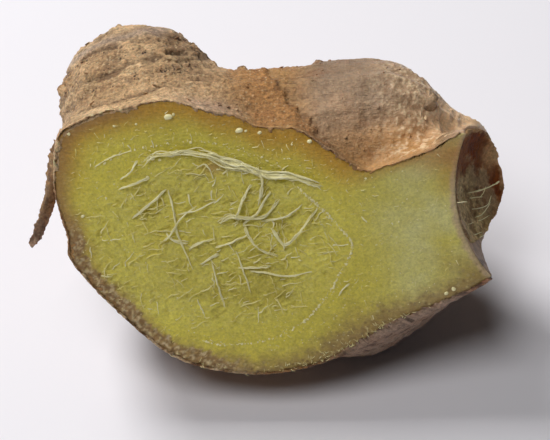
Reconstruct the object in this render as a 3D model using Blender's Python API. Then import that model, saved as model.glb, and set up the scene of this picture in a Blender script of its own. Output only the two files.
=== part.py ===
"""Ginger root: a cut piece of fresh ginger, grown as one body.

Metres, +Z up. The piece is modelled with its cut face up: X runs to the right along
the cut, Y up along the cut and Z out of it, with the body hanging below. It is then
leaned back about X until the cut face looks forward, and stands on a small flat spot
under its weight. The origin is on the floor, under the middle of the piece.
"""
import math
import random

import bmesh
import bpy
from mathutils import Matrix, Vector, noise

MM = 0.001

# Driving dimensions, in millimetres
CUT_LEAN = 25.0           # degrees that the cut face leans back from upright
FLOOR_DROP = 22.1         # from the middle of the cut down to the floor
SMOOTH_JOIN = 2.2         # how softly the fingers of the root run into each other
RIM_BAND = 22.0           # degrees behind the cut over which its outline fades out
POLE_CALM = 7.0           # degrees round the far end over which the relief dies out
AROUND = 104              # faces round the body
BACK_ROWS = 30            # rows from the rim to the far end
CUT_ROWS = 5              # rows from the rim to the middle of the cut
RING_SPACING = 5.2        # between the leaf-scar rings
RING_HEIGHT = 0.6
FURROW_HEIGHT = 0.9
LUMP_HEIGHT = 0.9
MAIN_FIBRE_RADIUS = 0.42
FINE_FIBRE_RADIUS = 0.30
FINE_FIBRE_COUNT = 46
STELE_CENTRE = (-10.5, 3.8)     # the fibrous core, an ellipse on the cut
STELE_REACH = (18.0, 12.5)
STRIP_THICKNESS = 0.9
CUT_WAVE_HEIGHT = 0.35
SLIVER_LENGTH = 0.006     # edges shorter than this close up

# Fingers that the root has grown: start, radius there, end, radius there
FINGERS = {
    "main": ((-14, 5, -7), 18.0, (9, -0.5, -8), 16.4),
    "ridge": ((-1, 12.2, -12.5), 12.3, (10.6, 11.6, -15), 13.4),
    "end": ((13, 7, -10.5), 12.0, (24.4, 8.4, -11.4), 7.3),
    "knob": ((-18.4, 12.2, -9), 15.5, (-21.4, 19.8, -15), 10.9),
    "heel": ((-8, 0, -18), 15.0, (6, 0, -20), 14.0),
    "bud": ((7, 5, -26), 8.5, (11, 9, -34.5), 4.5),
    "scar": ((25, 8.4, -16), 5.0, (28, 5.2, -17.9), 2.4),
}
RINGED = {"knob": 1.5, "ridge": 0.5, "bud": 0.8, "main": 0.8, "heel": 0.8, "end": 0.4, "scar": 0.2}

# Outline of the cut, anticlockwise from the left, with the notch under the skin lobe
CUT_OUTLINE = [
    (-32.5, 16.5), (-32.5, 11), (-31, 5), (-30.5, 1), (-23.5, -7.5), (-16, -14),
    (-7, -16.4), (1.5, -15.7), (11.5, -11.9), (20.5, -6.7), (28, -2), (32, 3),
    (33, 10), (30, 17), (24, 20.6), (19, 18), (12, 15.4), (9.5, 15.5), (5, 18.5),
    (0.5, 21.3), (-4, 21.5), (-8, 23.3), (-12, 24), (-16.5, 25.3), (-22, 24.5),
    (-27.5, 23), (-31.5, 20.5),
]

# The broken end is the hollow that a ball of this middle and radius leaves
BREAK_CENTRE = (43.6, 13.2, -2.1)
BREAK_RADIUS = 21.0

# Main fibres torn out along the top of the core: points along the cut
MAIN_FIBRES = [
    [(-20.1, 15.8), (-17.4, 17.4), (-12.4, 17.8), (-8.4, 17.3), (-3.9, 15.4), (-0.7, 14.3), (4.1, 12.7)],
    [(-14.5, 16.9), (-10.0, 16.8), (-6.2, 16.2), (-2.0, 14.2)],
    [(-5.1, 17.3), (-4.0, 15.2), (-3.6, 12.8), (-4.3, 9.7)],
    [(-5.0, 12.8), (-6.5, 10.9), (-7.6, 8.3)],
    [(-2.4, 12.1), (-4.0, 9.9), (-6.5, 6.9)],
    [(-10.6, 6.6), (-8.9, 7.8), (-5.0, 8.3), (-1.6, 10.6)],
    [(-6.2, 7.2), (-5.6, 5.0), (-4.1, 3.2), (-1.5, 2.7)],
    [(-0.8, 4.2), (0.9, 5.4), (1.8, 7.0), (3.9, 9.8)],
    [(-4.2, 7.3), (-1.7, 7.7), (1.1, 9.9)],
    [(-5.8, -0.6), (-1.5, -0.8), (3.6, 0.1)],
    [(-17.2, 13.4), (-16.3, 8.6), (-15.3, 3.5), (-13.5, 0.0)],
    [(-21.9, 7.8), (-20.5, 9.6), (-16.5, 12.5)],
    [(-10.6, 1.2), (-10.3, -1.8), (-9.0, -6.4)],
    [(-7.7, 3.2), (-6.7, 0.4), (-5.7, -3.7)],
]

# Torn skin hanging at the left: middle line along the cut, and half widths
STRIP_LINE = [(-31.2, 18.4), (-32.4, 15.0), (-33.1, 11.2), (-34.2, 7.4), (-35.4, 4.6), (-36.4, 2.9)]
STRIP_HALF_WIDTHS = [1.5, 1.1, 0.95, 0.9, 0.75, 0.35]

# Little root stubs: degrees round the body, degrees behind the cut, length
ROOT_STUBS = [
    (131, 30, 0.8), (124, 44, 0.7), (112, 40, 0.9), (106, 34, 0.9), (146, 20, 0.7),
    (56, 42, 0.9), (47, 20, 1.5), (80, 38, 0.6), (205, 42, 1.0), (192, 26, 0.8),
    (250, 78, 1.0), (345, 40, 0.9), (332, 62, 0.8), (170, 58, 1.0), (20, 60, 0.9),
]


def finger_distance(point, finger):
    """Distance outside one tapered finger, and how far along it the point lies."""
    start, start_radius, end, end_radius = finger
    start = Vector(start)
    axis = Vector(end) - start
    along = min(max((point - start).dot(axis) / axis.length_squared, 0.0), 1.0)
    radius = start_radius + (end_radius - start_radius) * along
    return (point - start - axis * along).length - radius


def body_distance(point):
    """Distance outside the fingers together, smoothed where they join."""
    gaps = [finger_distance(point, finger) for finger in FINGERS.values()]
    nearest = min(gaps)
    total = sum(math.exp((nearest - gap) / SMOOTH_JOIN) for gap in gaps)
    return nearest - SMOOTH_JOIN * math.log(total)


def reach(direction, relief_share=0.0):
    """How far the surface lies from the middle of the cut along a direction."""
    distance = 0.0
    for _ in range(12):
        distance -= body_distance(direction * distance)
    if relief_share > 0:
        for _ in range(16):
            point = direction * distance
            distance -= 0.7 * (body_distance(point) - relief_share * skin_relief(point))
    return distance


def smooth_step(value):
    value = min(max(value, 0.0), 1.0)
    return value * value * (3 - 2 * value)


def outline_curve(points, count):
    """Even points along a smooth closed curve through the given ones."""
    fine = []
    for index in range(len(points)):
        p0, p1, p2, p3 = (Vector(points[(index + step) % len(points)]) for step in (-1, 0, 1, 2))
        for part in range(12):
            t = part / 12
            fine.append(0.5 * (2 * p1 + (p2 - p0) * t + (2 * p0 - 5 * p1 + 4 * p2 - p3) * t * t
                               + (3 * p1 - p0 - 3 * p2 + p3) * t ** 3))
    lengths = [0.0]
    for index, point in enumerate(fine):
        lengths.append(lengths[-1] + (fine[(index + 1) % len(fine)] - point).length)
    even = []
    index = 0
    for step in range(count):
        wanted = lengths[-1] * step / count
        while lengths[index + 1] < wanted:
            index += 1
        share = (wanted - lengths[index]) / (lengths[index + 1] - lengths[index])
        even.append(fine[index].lerp(fine[(index + 1) % len(fine)], share))
    return even


def ring_profile(turns):
    """A leaf-scar ring: a slow rise, then a sharp step down."""
    share = turns % 1.0
    return share / 0.72 if share < 0.72 else (1 - share) / 0.28


def skin_relief(point):
    """Height of the rings, furrows and lumps of the skin at a point."""
    gaps = {name: finger_distance(point, finger) for name, finger in FINGERS.items()}
    nearest = min(gaps.values())
    weights = {name: math.exp((nearest - gap) / 1.6) for name, gap in gaps.items()}
    total = sum(weights.values())
    height = LUMP_HEIGHT * noise.noise(point * 0.11)
    waver = 1.1 * noise.noise(point * 0.09 + Vector((7, 3, 1)))
    for name, weight in weights.items():
        start, _, end, _ = FINGERS[name]
        axis = (Vector(end) - Vector(start)).normalized()
        along = (point - Vector(start)).dot(axis)
        across = point - axis * along
        ring = ring_profile(along / RING_SPACING + waver)
        furrow = 1 - abs(noise.noise(across * 0.2 + axis * along * 0.05)) * 3
        share = weight / total
        height += share * RINGED[name] * RING_HEIGHT * (ring - 0.5)
        height += share * (1 - 0.4 * RINGED[name]) * FURROW_HEIGHT * (furrow - 0.5)
    return height


def skin_point(outline_point, depth_degrees):
    """A point of the skin, from its place on the outline and its angle behind the cut."""
    rim_reach = outline_point.length
    sideways = outline_point.normalized()
    depth = math.radians(depth_degrees)
    direction = Vector((sideways.x * math.cos(depth), sideways.y * math.cos(depth), -math.sin(depth)))
    fade = smooth_step(depth_degrees / RIM_BAND)
    relief_share = fade * smooth_step((90 - depth_degrees) / POLE_CALM - 1)
    return direction * (rim_reach * (1 - fade) + reach(direction, relief_share) * fade)


def cut_height(x, y):
    """The cut face: nearly flat, with the slow waves that a knife leaves."""
    return CUT_WAVE_HEIGHT * noise.noise(Vector((x, y, 0)) * 0.09)


def floor_height(point):
    """Height above the middle of the cut once the piece is leaned back."""
    lean = math.radians(CUT_LEAN)
    return point.y * math.cos(lean) + point.z * math.sin(lean)


def set_on_floor(point):
    """Flatten the spot that the piece rests on."""
    lean = math.radians(CUT_LEAN)
    below = -FLOOR_DROP - floor_height(point)
    if below > 0:
        point = point + Vector((0, math.cos(lean), math.sin(lean))) * below
    return point


def new_object(name, mesh, collection):
    thing = bpy.data.objects.new(name, mesh)
    collection.objects.link(thing)
    return thing


def make_body(collection):
    """The body: a sphere wrapped onto the fingers, with its front drawn flat to the cut."""
    rows = BACK_ROWS + CUT_ROWS
    form = bmesh.new()
    bmesh.ops.create_uvsphere(form, u_segments=AROUND, v_segments=rows, radius=1)
    outline = outline_curve(CUT_OUTLINE, AROUND)
    first = min(range(AROUND), key=lambda index: abs(math.atan2(outline[index].y, outline[index].x)))
    for vert in form.verts:
        row = round(math.acos(max(-1.0, min(1.0, vert.co.z))) / math.pi * rows)
        turn = round(math.atan2(vert.co.y, vert.co.x) / math.tau * AROUND)
        rim = outline[(first + turn) % AROUND]
        if row <= CUT_ROWS:
            place = rim * math.sin(math.pi / 2 * row / CUT_ROWS) ** 0.9
            height = cut_height(place.x, place.y) * smooth_step((CUT_ROWS - row) / 2)
            vert.co = Vector((place.x, place.y, height))
        else:
            depth = 90 * (row - CUT_ROWS) / BACK_ROWS
            vert.co = set_on_floor(skin_point(rim, depth))
    bmesh.ops.triangulate(form, faces=form.faces)
    mesh = bpy.data.meshes.new("body")
    form.to_mesh(mesh)
    form.free()
    return new_object("body", mesh, collection)


def make_break(collection):
    """The ball whose hollow is the broken end, rough as torn flesh."""
    form = bmesh.new()
    bmesh.ops.create_uvsphere(form, u_segments=44, v_segments=30, radius=BREAK_RADIUS)
    for vert in form.verts:
        vert.co += vert.co.normalized() * 0.8 * noise.noise(vert.co * 0.3)
        vert.co += Vector(BREAK_CENTRE)
    bmesh.ops.triangulate(form, faces=form.faces)
    mesh = bpy.data.meshes.new("break")
    form.to_mesh(mesh)
    form.free()
    ball = new_object("break", mesh, collection)
    ball.hide_render = True
    ball.display_type = 'WIRE'
    return ball


def tube(name, points, radius, collection, taper=0.6):
    """A four-sided fibre along the points, thinner at its end, as a closed mesh."""
    path = bpy.data.curves.new(name, 'CURVE')
    path.dimensions = '3D'
    path.bevel_depth = radius
    path.bevel_resolution = 0
    path.use_fill_caps = True
    spline = path.splines.new('POLY')
    spline.points.add(len(points) - 1)
    for index, (target, point) in enumerate(zip(spline.points, points)):
        target.co = (*point, 1)
        target.radius = 1 - (1 - taper) * index / (len(points) - 1)
    guide = new_object(name + "_path", path, collection)
    bpy.context.view_layer.update()
    depsgraph = bpy.context.evaluated_depsgraph_get()
    mesh = bpy.data.meshes.new_from_object(guide.evaluated_get(depsgraph))
    form = bmesh.new()
    form.from_mesh(mesh)
    bmesh.ops.remove_doubles(form, verts=form.verts, dist=0.02)
    form.to_mesh(mesh)
    form.free()
    bpy.data.objects.remove(guide)
    return new_object(name, mesh, collection)


def main_fibres(collection):
    """Fibres lying along the cut, sunk at their roots and lifted where they were torn."""
    for number, line in enumerate(MAIN_FIBRES):
        points = []
        for index, (x, y) in enumerate(line):
            share = index / (len(line) - 1)
            lift = 0.5 * math.sin(math.pi * min(share * 1.15, 1.0))
            root = -0.9 if index == 0 else 0.05
            points.append(Vector((x, y, cut_height(x, y) + root + lift)))
        radius = MAIN_FIBRE_RADIUS if number < 3 else FINE_FIBRE_RADIUS
        tube("main_fibre_%02d" % number, points, radius, collection)


def fine_fibres(collection):
    """Short fibre ends combed two ways across the core, each rooted in the flesh."""
    draw = random.Random(4)
    for number in range(FINE_FIBRE_COUNT):
        spread = math.sqrt(draw.random())
        turn = draw.uniform(0, math.tau)
        x = STELE_CENTRE[0] + STELE_REACH[0] * spread * math.cos(turn)
        y = STELE_CENTRE[1] + STELE_REACH[1] * spread * math.sin(turn)
        heading = 30 + draw.gauss(0, 16) if draw.random() < 0.7 else -62 + draw.gauss(0, 14)
        ahead = Vector((math.cos(math.radians(heading)), math.sin(math.radians(heading)), 0))
        length = draw.uniform(2.4, 4.6)
        bend = Vector((-ahead.y, ahead.x, 0)) * draw.uniform(-0.5, 0.5)
        ground = cut_height(x, y)
        root = Vector((x, y, ground - 0.9))
        middle = Vector((x, y, ground + 0.25)) + ahead * length * 0.5 + bend
        tip = Vector((x, y, ground + draw.uniform(0.5, 1.1))) + ahead * length
        tube("fine_fibre_%02d" % number, [root, middle, tip], FINE_FIBRE_RADIUS, collection)


def end_fibres(collection):
    """Fibres drawn out of the broken end beside the cut, longest at the top."""
    count = 8
    for number in range(count):
        share = number / (count - 1)
        y = 11.6 - 9.2 * share
        depth = -1.4 - 1.3 * (number % 3)
        across = Vector(BREAK_CENTRE) - Vector((0, y, depth))
        root_x = BREAK_CENTRE[0] - math.sqrt(BREAK_RADIUS ** 2 - across.y ** 2 - across.z ** 2)
        length = 5.0 - 3.0 * share
        root = Vector((root_x - 1.2, y - 0.4, depth))
        tip = Vector((root_x + length, y + 0.22 * length, depth + 0.5))
        middle = root.lerp(tip, 0.5) + Vector((0, 0.25, 0.3))
        tube("end_fibre_%02d" % number, [root, middle, tip], FINE_FIBRE_RADIUS, collection)


def root_stubs(collection):
    """Stubs of trimmed rootlets standing out of the skin."""
    for number, (turn, depth, length) in enumerate(ROOT_STUBS):
        turn_angle = math.radians(turn)
        depth_angle = math.radians(depth)
        outward = Vector((math.cos(turn_angle) * math.cos(depth_angle),
                          math.sin(turn_angle) * math.cos(depth_angle), -math.sin(depth_angle)))
        foot = outward * (reach(outward) - 1.2)
        form = bmesh.new()
        bmesh.ops.create_cone(form, cap_ends=True, segments=6, radius1=1.0, radius2=0.55,
                              depth=length + 1.2)
        place = Matrix.Translation(foot + outward * (length + 1.2) / 2)
        bmesh.ops.transform(form, matrix=place @ outward.to_track_quat('Z', 'Y').to_matrix().to_4x4(),
                            verts=form.verts)
        mesh = bpy.data.meshes.new("root_stub")
        form.to_mesh(mesh)
        form.free()
        new_object("root_stub_%02d" % number, mesh, collection)


def skin_strip(collection):
    """The torn strip of skin: a flat outline with thickness, curling as it hangs."""
    path = bpy.data.curves.new("strip", 'CURVE')
    path.dimensions = '2D'
    path.fill_mode = 'BOTH'
    path.extrude = STRIP_THICKNESS / 2
    left = [(x - half, y) for (x, y), half in zip(STRIP_LINE, STRIP_HALF_WIDTHS)]
    right = [(x + half, y) for (x, y), half in zip(STRIP_LINE, STRIP_HALF_WIDTHS)]
    border = left + right[::-1]
    spline = path.splines.new('POLY')
    spline.points.add(len(border) - 1)
    for target, (x, y) in zip(spline.points, border):
        target.co = (x, y, 0, 1)
    spline.use_cyclic_u = True
    guide = new_object("strip_path", path, collection)
    bpy.context.view_layer.update()
    depsgraph = bpy.context.evaluated_depsgraph_get()
    mesh = bpy.data.meshes.new_from_object(guide.evaluated_get(depsgraph))
    bpy.data.objects.remove(guide)
    form = bmesh.new()
    form.from_mesh(mesh)
    bmesh.ops.remove_doubles(form, verts=form.verts, dist=0.02)
    top = STRIP_LINE[0][1]
    for vert in form.verts:
        hang = top - vert.co.y
        vert.co.z += -1.6 - 0.9 * math.sin(hang / 6.0)
    form.to_mesh(mesh)
    form.free()
    return new_object("skin_strip", mesh, collection)


def material(name, colour, roughness):
    finish = bpy.data.materials.new(name)
    finish.use_nodes = True
    shader = finish.node_tree.nodes["Principled BSDF"]
    shader.inputs["Base Color"].default_value = (*colour, 1)
    shader.inputs["Roughness"].default_value = roughness
    return finish


def apply_boolean(thing, operation, target):
    """Apply one Boolean modifier with an object or a whole collection."""
    change = thing.modifiers.new(operation.lower(), 'BOOLEAN')
    change.operation = operation
    change.solver = 'MANIFOLD'
    if isinstance(target, bpy.types.Collection):
        change.operand_type = 'COLLECTION'
        change.collection = target
    else:
        change.object = target
    bpy.context.view_layer.update()
    depsgraph = bpy.context.evaluated_depsgraph_get()
    mesh = bpy.data.meshes.new_from_object(thing.evaluated_get(depsgraph))
    thing.modifiers.clear()
    thing.data = mesh


def finish_mesh(thing):
    """Colour cut and skin, then lean the piece back and stand it on the floor, in metres."""
    form = bmesh.new()
    form.from_mesh(thing.data)
    bmesh.ops.triangulate(form, faces=form.faces)
    bmesh.ops.dissolve_degenerate(form, edges=form.edges, dist=SLIVER_LENGTH)
    bmesh.ops.triangulate(form, faces=form.faces)
    for face in form.faces:
        middle = face.calc_center_median()
        on_break = abs((middle - Vector(BREAK_CENTRE)).length - BREAK_RADIUS) < 1.2
        face.material_index = 1 if middle.z > -0.25 or on_break else 0
    lean_back = Matrix.Rotation(math.radians(90 - CUT_LEAN), 4, 'X')
    bmesh.ops.transform(form, matrix=Matrix.Scale(MM, 4) @ lean_back, verts=form.verts)
    low = Vector([min(vert.co[axis] for vert in form.verts) for axis in range(3)])
    high = Vector([max(vert.co[axis] for vert in form.verts) for axis in range(3)])
    middle = (low + high) / 2
    bmesh.ops.translate(form, vec=(-middle.x, -middle.y, -low.z), verts=form.verts)
    form.to_mesh(thing.data)
    form.free()


def clear_scene():
    for thing in list(bpy.data.objects):
        bpy.data.objects.remove(thing)


def main():
    clear_scene()
    part = bpy.data.collections.new("ginger_root")
    cutters = bpy.data.collections.new("cutters")
    pieces = bpy.data.collections.new("pieces")
    for collection in (part, cutters, pieces):
        bpy.context.scene.collection.children.link(collection)
    root = make_body(part)
    root.name = "ginger_root"
    apply_boolean(root, 'DIFFERENCE', make_break(cutters))
    main_fibres(pieces)
    fine_fibres(pieces)
    end_fibres(pieces)
    root_stubs(pieces)
    skin_strip(pieces)
    apply_boolean(root, 'UNION', pieces)
    for collection in (pieces, cutters):
        for thing in list(collection.objects):
            bpy.data.objects.remove(thing)
    root.data.materials.clear()
    root.data.materials.append(material("ginger_skin", (0.36, 0.22, 0.11), 0.6))
    root.data.materials.append(material("ginger_flesh", (0.42, 0.37, 0.08), 0.5))
    finish_mesh(root)
    root.data.shade_flat()


main()
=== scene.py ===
import math
import random

import bmesh
import bpy
import numpy as np
from mathutils import Matrix, Vector, noise


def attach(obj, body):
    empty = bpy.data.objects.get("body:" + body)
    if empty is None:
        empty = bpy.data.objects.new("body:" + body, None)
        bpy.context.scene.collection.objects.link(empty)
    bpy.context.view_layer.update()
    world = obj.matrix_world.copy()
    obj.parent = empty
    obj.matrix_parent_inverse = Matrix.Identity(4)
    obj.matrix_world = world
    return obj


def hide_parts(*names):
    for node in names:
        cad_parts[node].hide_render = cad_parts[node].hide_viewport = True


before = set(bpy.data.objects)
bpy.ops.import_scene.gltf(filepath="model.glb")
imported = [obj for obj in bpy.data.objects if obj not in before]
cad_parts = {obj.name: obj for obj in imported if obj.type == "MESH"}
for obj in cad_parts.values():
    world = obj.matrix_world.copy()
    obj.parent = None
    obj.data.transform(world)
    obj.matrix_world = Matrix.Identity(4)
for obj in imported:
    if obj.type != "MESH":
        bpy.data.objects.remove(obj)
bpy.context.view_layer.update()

# The skin of the root: a thin brown layer that has grown on the fingers of the rhizome.
# It is ringed where leaf scales sat, furrowed along each finger and flattened where the
# piece rests. It is drawn with the cut face up, in millimetres, and then leaned back.
CUT_MIDDLE = Vector((0.002951, -0.016661, 0.0221))
CUT_LEAN = 25.0
MM = 0.001
FINGERS = {
    "main": ((-14, 5, -7), 18.0, (9, -0.5, -8), 16.4),
    "ridge": ((-1, 12.2, -12.5), 12.3, (10.6, 11.6, -15), 13.4),
    "end": ((13, 7, -10.5), 12.0, (24.4, 8.4, -11.4), 7.3),
    "knob": ((-18.4, 12.2, -9), 15.5, (-21.4, 19.8, -15), 10.9),
    "heel": ((-8, 0, -18), 15.0, (6, 0, -20), 14.0),
    "bud": ((7, 5, -26), 8.5, (11, 9, -34.5), 4.5),
    "scar": ((25, 8.4, -16), 5.0, (28, 5.2, -17.9), 2.4),
}
RINGED = {"knob": 1.5, "ridge": 0.5, "bud": 0.8, "main": 0.8, "heel": 0.8, "end": 0.4, "scar": 0.2}
SMOOTH_JOIN = 2.2
RIM_BAND = 22.0
RING_SPACING = 5.2
RING_HEIGHT = 0.3
FURROW_HEIGHT = 0.9
LUMP_HEIGHT = 0.9
WRAP_AROUND = 420
WRAP_ROWS = 170
SKIN_CELL = 0.34
KNOB_CREASES = (7.4, 12.2, 16.2, 19.6)
KNOB_SPECK_ROWS = (9.9, 13.4, 15.6)
KNOB_SMOOTH_RING = 17.6
SCALE_EDGE_HEIGHT = 23.6
SEEN_UP = np.array((0, 0.92, -0.39))
CUT_OUTLINE = [
    (-32.5, 16.5), (-32.5, 11), (-31, 5), (-30.5, 1), (-23.5, -7.5), (-16, -14),
    (-7, -16.4), (1.5, -15.7), (11.5, -11.9), (20.5, -6.7), (28, -2), (32, 3),
    (33, 10), (30, 17), (24, 20.6), (19, 18), (12, 15.4), (9.5, 15.5), (5, 18.5),
    (0.5, 21.3), (-4, 21.5), (-8, 23.3), (-12, 24), (-16.5, 25.3), (-22, 24.5),
    (-27.5, 23), (-31.5, 20.5),
]
BREAK_CENTRE = np.array((43.6, 13.2, -2.1))
BREAK_RADIUS = 21.0
lean_back = Matrix.Rotation(math.radians(90 - CUT_LEAN), 4, 'X') @ Matrix.Scale(MM, 4)
into_frame = Matrix.Translation(CUT_MIDDLE) @ lean_back


def shade(red, green, blue):
    """A colour as the eye reads it, from 0 to 255, made linear."""
    share = np.array((red, green, blue)) / 255
    return np.where(share < 0.04045, share / 12.92, ((share + 0.055) / 1.055) ** 2.4)


def smooth_step(value):
    value = np.clip(value, 0.0, 1.0)
    return value * value * (3 - 2 * value)


def grain_noise(points, stretch, shift=0.0, octaves=1):
    """Noise from -1 to 1 at each point, stretched by a size for each axis."""
    places = (points * np.array(stretch) + shift).tolist()
    if octaves == 1:
        return np.array([noise.noise(place) for place in places])
    return np.array([noise.fractal(place, 0.7, 2.1, octaves) for place in places])


def finger_gaps(points):
    """How far each point lies outside each finger."""
    gaps = []
    for start, start_radius, end, end_radius in FINGERS.values():
        from_start = points - np.array(start, float)
        axis = np.array(end, float) - np.array(start, float)
        along = np.clip(from_start @ axis / (axis @ axis), 0, 1)
        radius = start_radius + (end_radius - start_radius) * along
        gaps.append(np.linalg.norm(from_start - along[:, None] * axis, axis=1) - radius)
    return np.array(gaps)


def body_gap(points):
    """How far each point lies outside the fingers together."""
    gaps = finger_gaps(points)
    nearest = gaps.min(axis=0)
    total = np.exp((nearest - gaps) / SMOOTH_JOIN).sum(axis=0)
    return nearest - SMOOTH_JOIN * np.log(total)


def outline_curve(points, steps=24):
    """A smooth closed curve through the given points of the cut's outline."""
    corners = np.array(points, float)
    curve = []
    for index in range(len(corners)):
        p0, p1, p2, p3 = (corners[(index + step) % len(corners)] for step in (-1, 0, 1, 2))
        for part in range(steps):
            t = part / steps
            curve.append(0.5 * (2 * p1 + (p2 - p0) * t + (2 * p0 - 5 * p1 + 4 * p2 - p3) * t * t
                                + (3 * p1 - p0 - 3 * p2 + p3) * t ** 3))
    return np.array(curve)


rim_curve = outline_curve(CUT_OUTLINE)
rim_turns = np.arctan2(rim_curve[:, 1], rim_curve[:, 0])
rim_order = np.argsort(rim_turns)
rim_turns = rim_turns[rim_order]
rim_reach = np.linalg.norm(rim_curve, axis=1)[rim_order]


def outline_radius(turns):
    """The outline's distance from the middle of the cut, at each angle."""
    return np.interp(turns, rim_turns, rim_reach, period=math.tau)


def skin_band(turns):
    """Width of the skin's own edge as seen beside the flesh: widest at the lower right."""
    turns = (turns + math.pi) % math.tau - math.pi
    lower_right = np.exp(-((turns + 0.5) / 0.5) ** 2)
    lower_left = np.exp(-((turns + 2.2) / 0.5) ** 2)
    return 0.35 + 1.5 * lower_right + 0.15 * lower_left


def mesh_points(mesh):
    flat = np.zeros(len(mesh.vertices) * 3, np.float32)
    mesh.vertices.foreach_get("co", flat)
    return flat.reshape(-1, 3).astype(float)


def mesh_normals(mesh):
    flat = np.zeros(len(mesh.vertices) * 3, np.float32)
    mesh.vertices.foreach_get("normal", flat)
    return flat.reshape(-1, 3).astype(float)


def move_points(mesh, points):
    mesh.vertices.foreach_set("co", points.astype(np.float32).ravel())
    mesh.update()


def paint(mesh, name, values):
    """Store one colour or number for each point of a mesh."""
    values = np.asarray(values, np.float32)
    if values.ndim == 1:
        layer = mesh.attributes.new(name, 'FLOAT', 'POINT')
        layer.data.foreach_set("value", values)
    else:
        layer = mesh.attributes.new(name, 'FLOAT_COLOR', 'POINT')
        opaque = np.ones((len(values), 1), np.float32)
        layer.data.foreach_set("color", np.hstack([values, opaque]).ravel())


def show(name, mesh):
    """A piece with its mesh in the frame, shaded smooth."""
    piece = bpy.data.objects.new(name, mesh)
    bpy.context.scene.collection.objects.link(piece)
    mesh.transform(into_frame)
    mesh.shade_smooth()
    return piece


def finished_mesh(thing):
    """The mesh as its modifiers leave it, with the object removed."""
    bpy.context.view_layer.update()
    depsgraph = bpy.context.evaluated_depsgraph_get()
    mesh = bpy.data.meshes.new_from_object(thing.evaluated_get(depsgraph))
    bpy.data.objects.remove(thing)
    return mesh


def wrapped_sphere(around, rows, cut_share=0.12):
    """A sphere wrapped onto the fingers, its front drawn flat just behind the cut."""
    form = bmesh.new()
    bmesh.ops.create_uvsphere(form, u_segments=around, v_segments=rows, radius=1)
    mesh = bpy.data.meshes.new("wrap")
    form.to_mesh(mesh)
    form.free()
    ball = mesh_points(mesh)
    turns = np.arctan2(ball[:, 1], ball[:, 0])
    polar = np.arccos(np.clip(ball[:, 2], -1, 1)) / math.pi
    rim = outline_radius(turns)
    depth = np.radians(90 * np.clip((polar - cut_share) / (1 - cut_share), 0, 1))
    sideways = np.stack([np.cos(turns), np.sin(turns)], axis=1)
    ways = np.column_stack([sideways * np.cos(depth)[:, None], -np.sin(depth)])
    reach = np.zeros(len(ball))
    for _ in range(30):
        reach -= body_gap(ways * reach[:, None])
    fade = smooth_step(np.degrees(depth) / RIM_BAND)
    skin = ways * (rim * (1 - fade) + reach * fade)[:, None]
    inward = np.clip(1 - polar / cut_share, 0, 1)
    edge = skin_band(turns)
    flat = np.column_stack([sideways * (rim * (1 - inward))[:, None], np.zeros(len(ball))])
    flat[:, 2] = -0.75 * edge * (1 - smooth_step(inward * rim / edge))
    flat[:, 2] -= 0.9 * smooth_step((inward * rim - edge - 0.3) / 0.8)
    front = (polar < cut_share)[:, None]
    skin[:, 2] -= 0.75 * edge * (1 - smooth_step(np.degrees(depth) / 5)) * (polar >= cut_share)
    move_points(mesh, np.where(front, flat, skin))
    return mesh


def ring_profile(turns):
    share = turns % 1.0
    return np.where(share < 0.72, share / 0.72, (1 - share) / 0.28)


def finger_parts(points):
    """For each finger: its share of each point, the way along it and the rest."""
    gaps = finger_gaps(points)
    shares = np.exp((gaps.min(axis=0) - gaps) / 1.6)
    shares /= shares.sum(axis=0)
    alongs, acrosses, axes = [], [], []
    for start, _, end, _ in FINGERS.values():
        axis = np.array(end, float) - np.array(start, float)
        axis /= np.linalg.norm(axis)
        along = (points - np.array(start, float)) @ axis
        alongs.append(along)
        acrosses.append(points - along[:, None] * axis)
        axes.append(axis)
    return shares, alongs, acrosses, axes


def skin_relief(points, shares, alongs, acrosses, axes):
    """Height of the rings, furrows and lumps of the fingers, and of the rings alone."""
    height = LUMP_HEIGHT * grain_noise(points, (0.11, 0.11, 0.11))
    waver = 1.1 * grain_noise(points, (0.09, 0.09, 0.09), (7, 3, 1))
    rings = np.zeros(len(points))
    for index, name in enumerate(FINGERS):
        ring = ring_profile(alongs[index] / RING_SPACING + waver)
        creased = acrosses[index] * 0.2 + np.outer(alongs[index] * 0.05, axes[index])
        furrow = 1 - np.abs(grain_noise(creased, (1, 1, 1))) * 3
        rings += shares[index] * RINGED[name] * (ring - 0.5)
        height += shares[index] * (1 - 0.4 * RINGED[name]) * FURROW_HEIGHT * (furrow - 0.5)
    return height + RING_HEIGHT * rings, rings


def stretch_along(points, axis, along, across):
    """Points scaled by one factor along an axis and by another across it."""
    return points * across + np.outer(points @ axis, axis) * (along - across)


coarse = bpy.data.objects.new("coarse", wrapped_sphere(WRAP_AROUND, WRAP_ROWS))
bpy.context.scene.collection.objects.link(coarse)
form = bmesh.new()
bmesh.ops.create_uvsphere(form, u_segments=120, v_segments=80, radius=BREAK_RADIUS)
bmesh.ops.translate(form, vec=Vector(BREAK_CENTRE), verts=form.verts)
break_mesh = bpy.data.meshes.new("break")
form.to_mesh(break_mesh)
form.free()
break_ball = bpy.data.objects.new("break", break_mesh)
bpy.context.scene.collection.objects.link(break_ball)
hollow = coarse.modifiers.new("hollow", 'BOOLEAN')
hollow.operation = 'DIFFERENCE'
hollow.solver = 'MANIFOLD'
hollow.object = break_ball
even = coarse.modifiers.new("even", 'REMESH')
even.mode = 'VOXEL'
even.voxel_size = SKIN_CELL
skin_mesh = finished_mesh(coarse)
bpy.data.objects.remove(break_ball)

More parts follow.
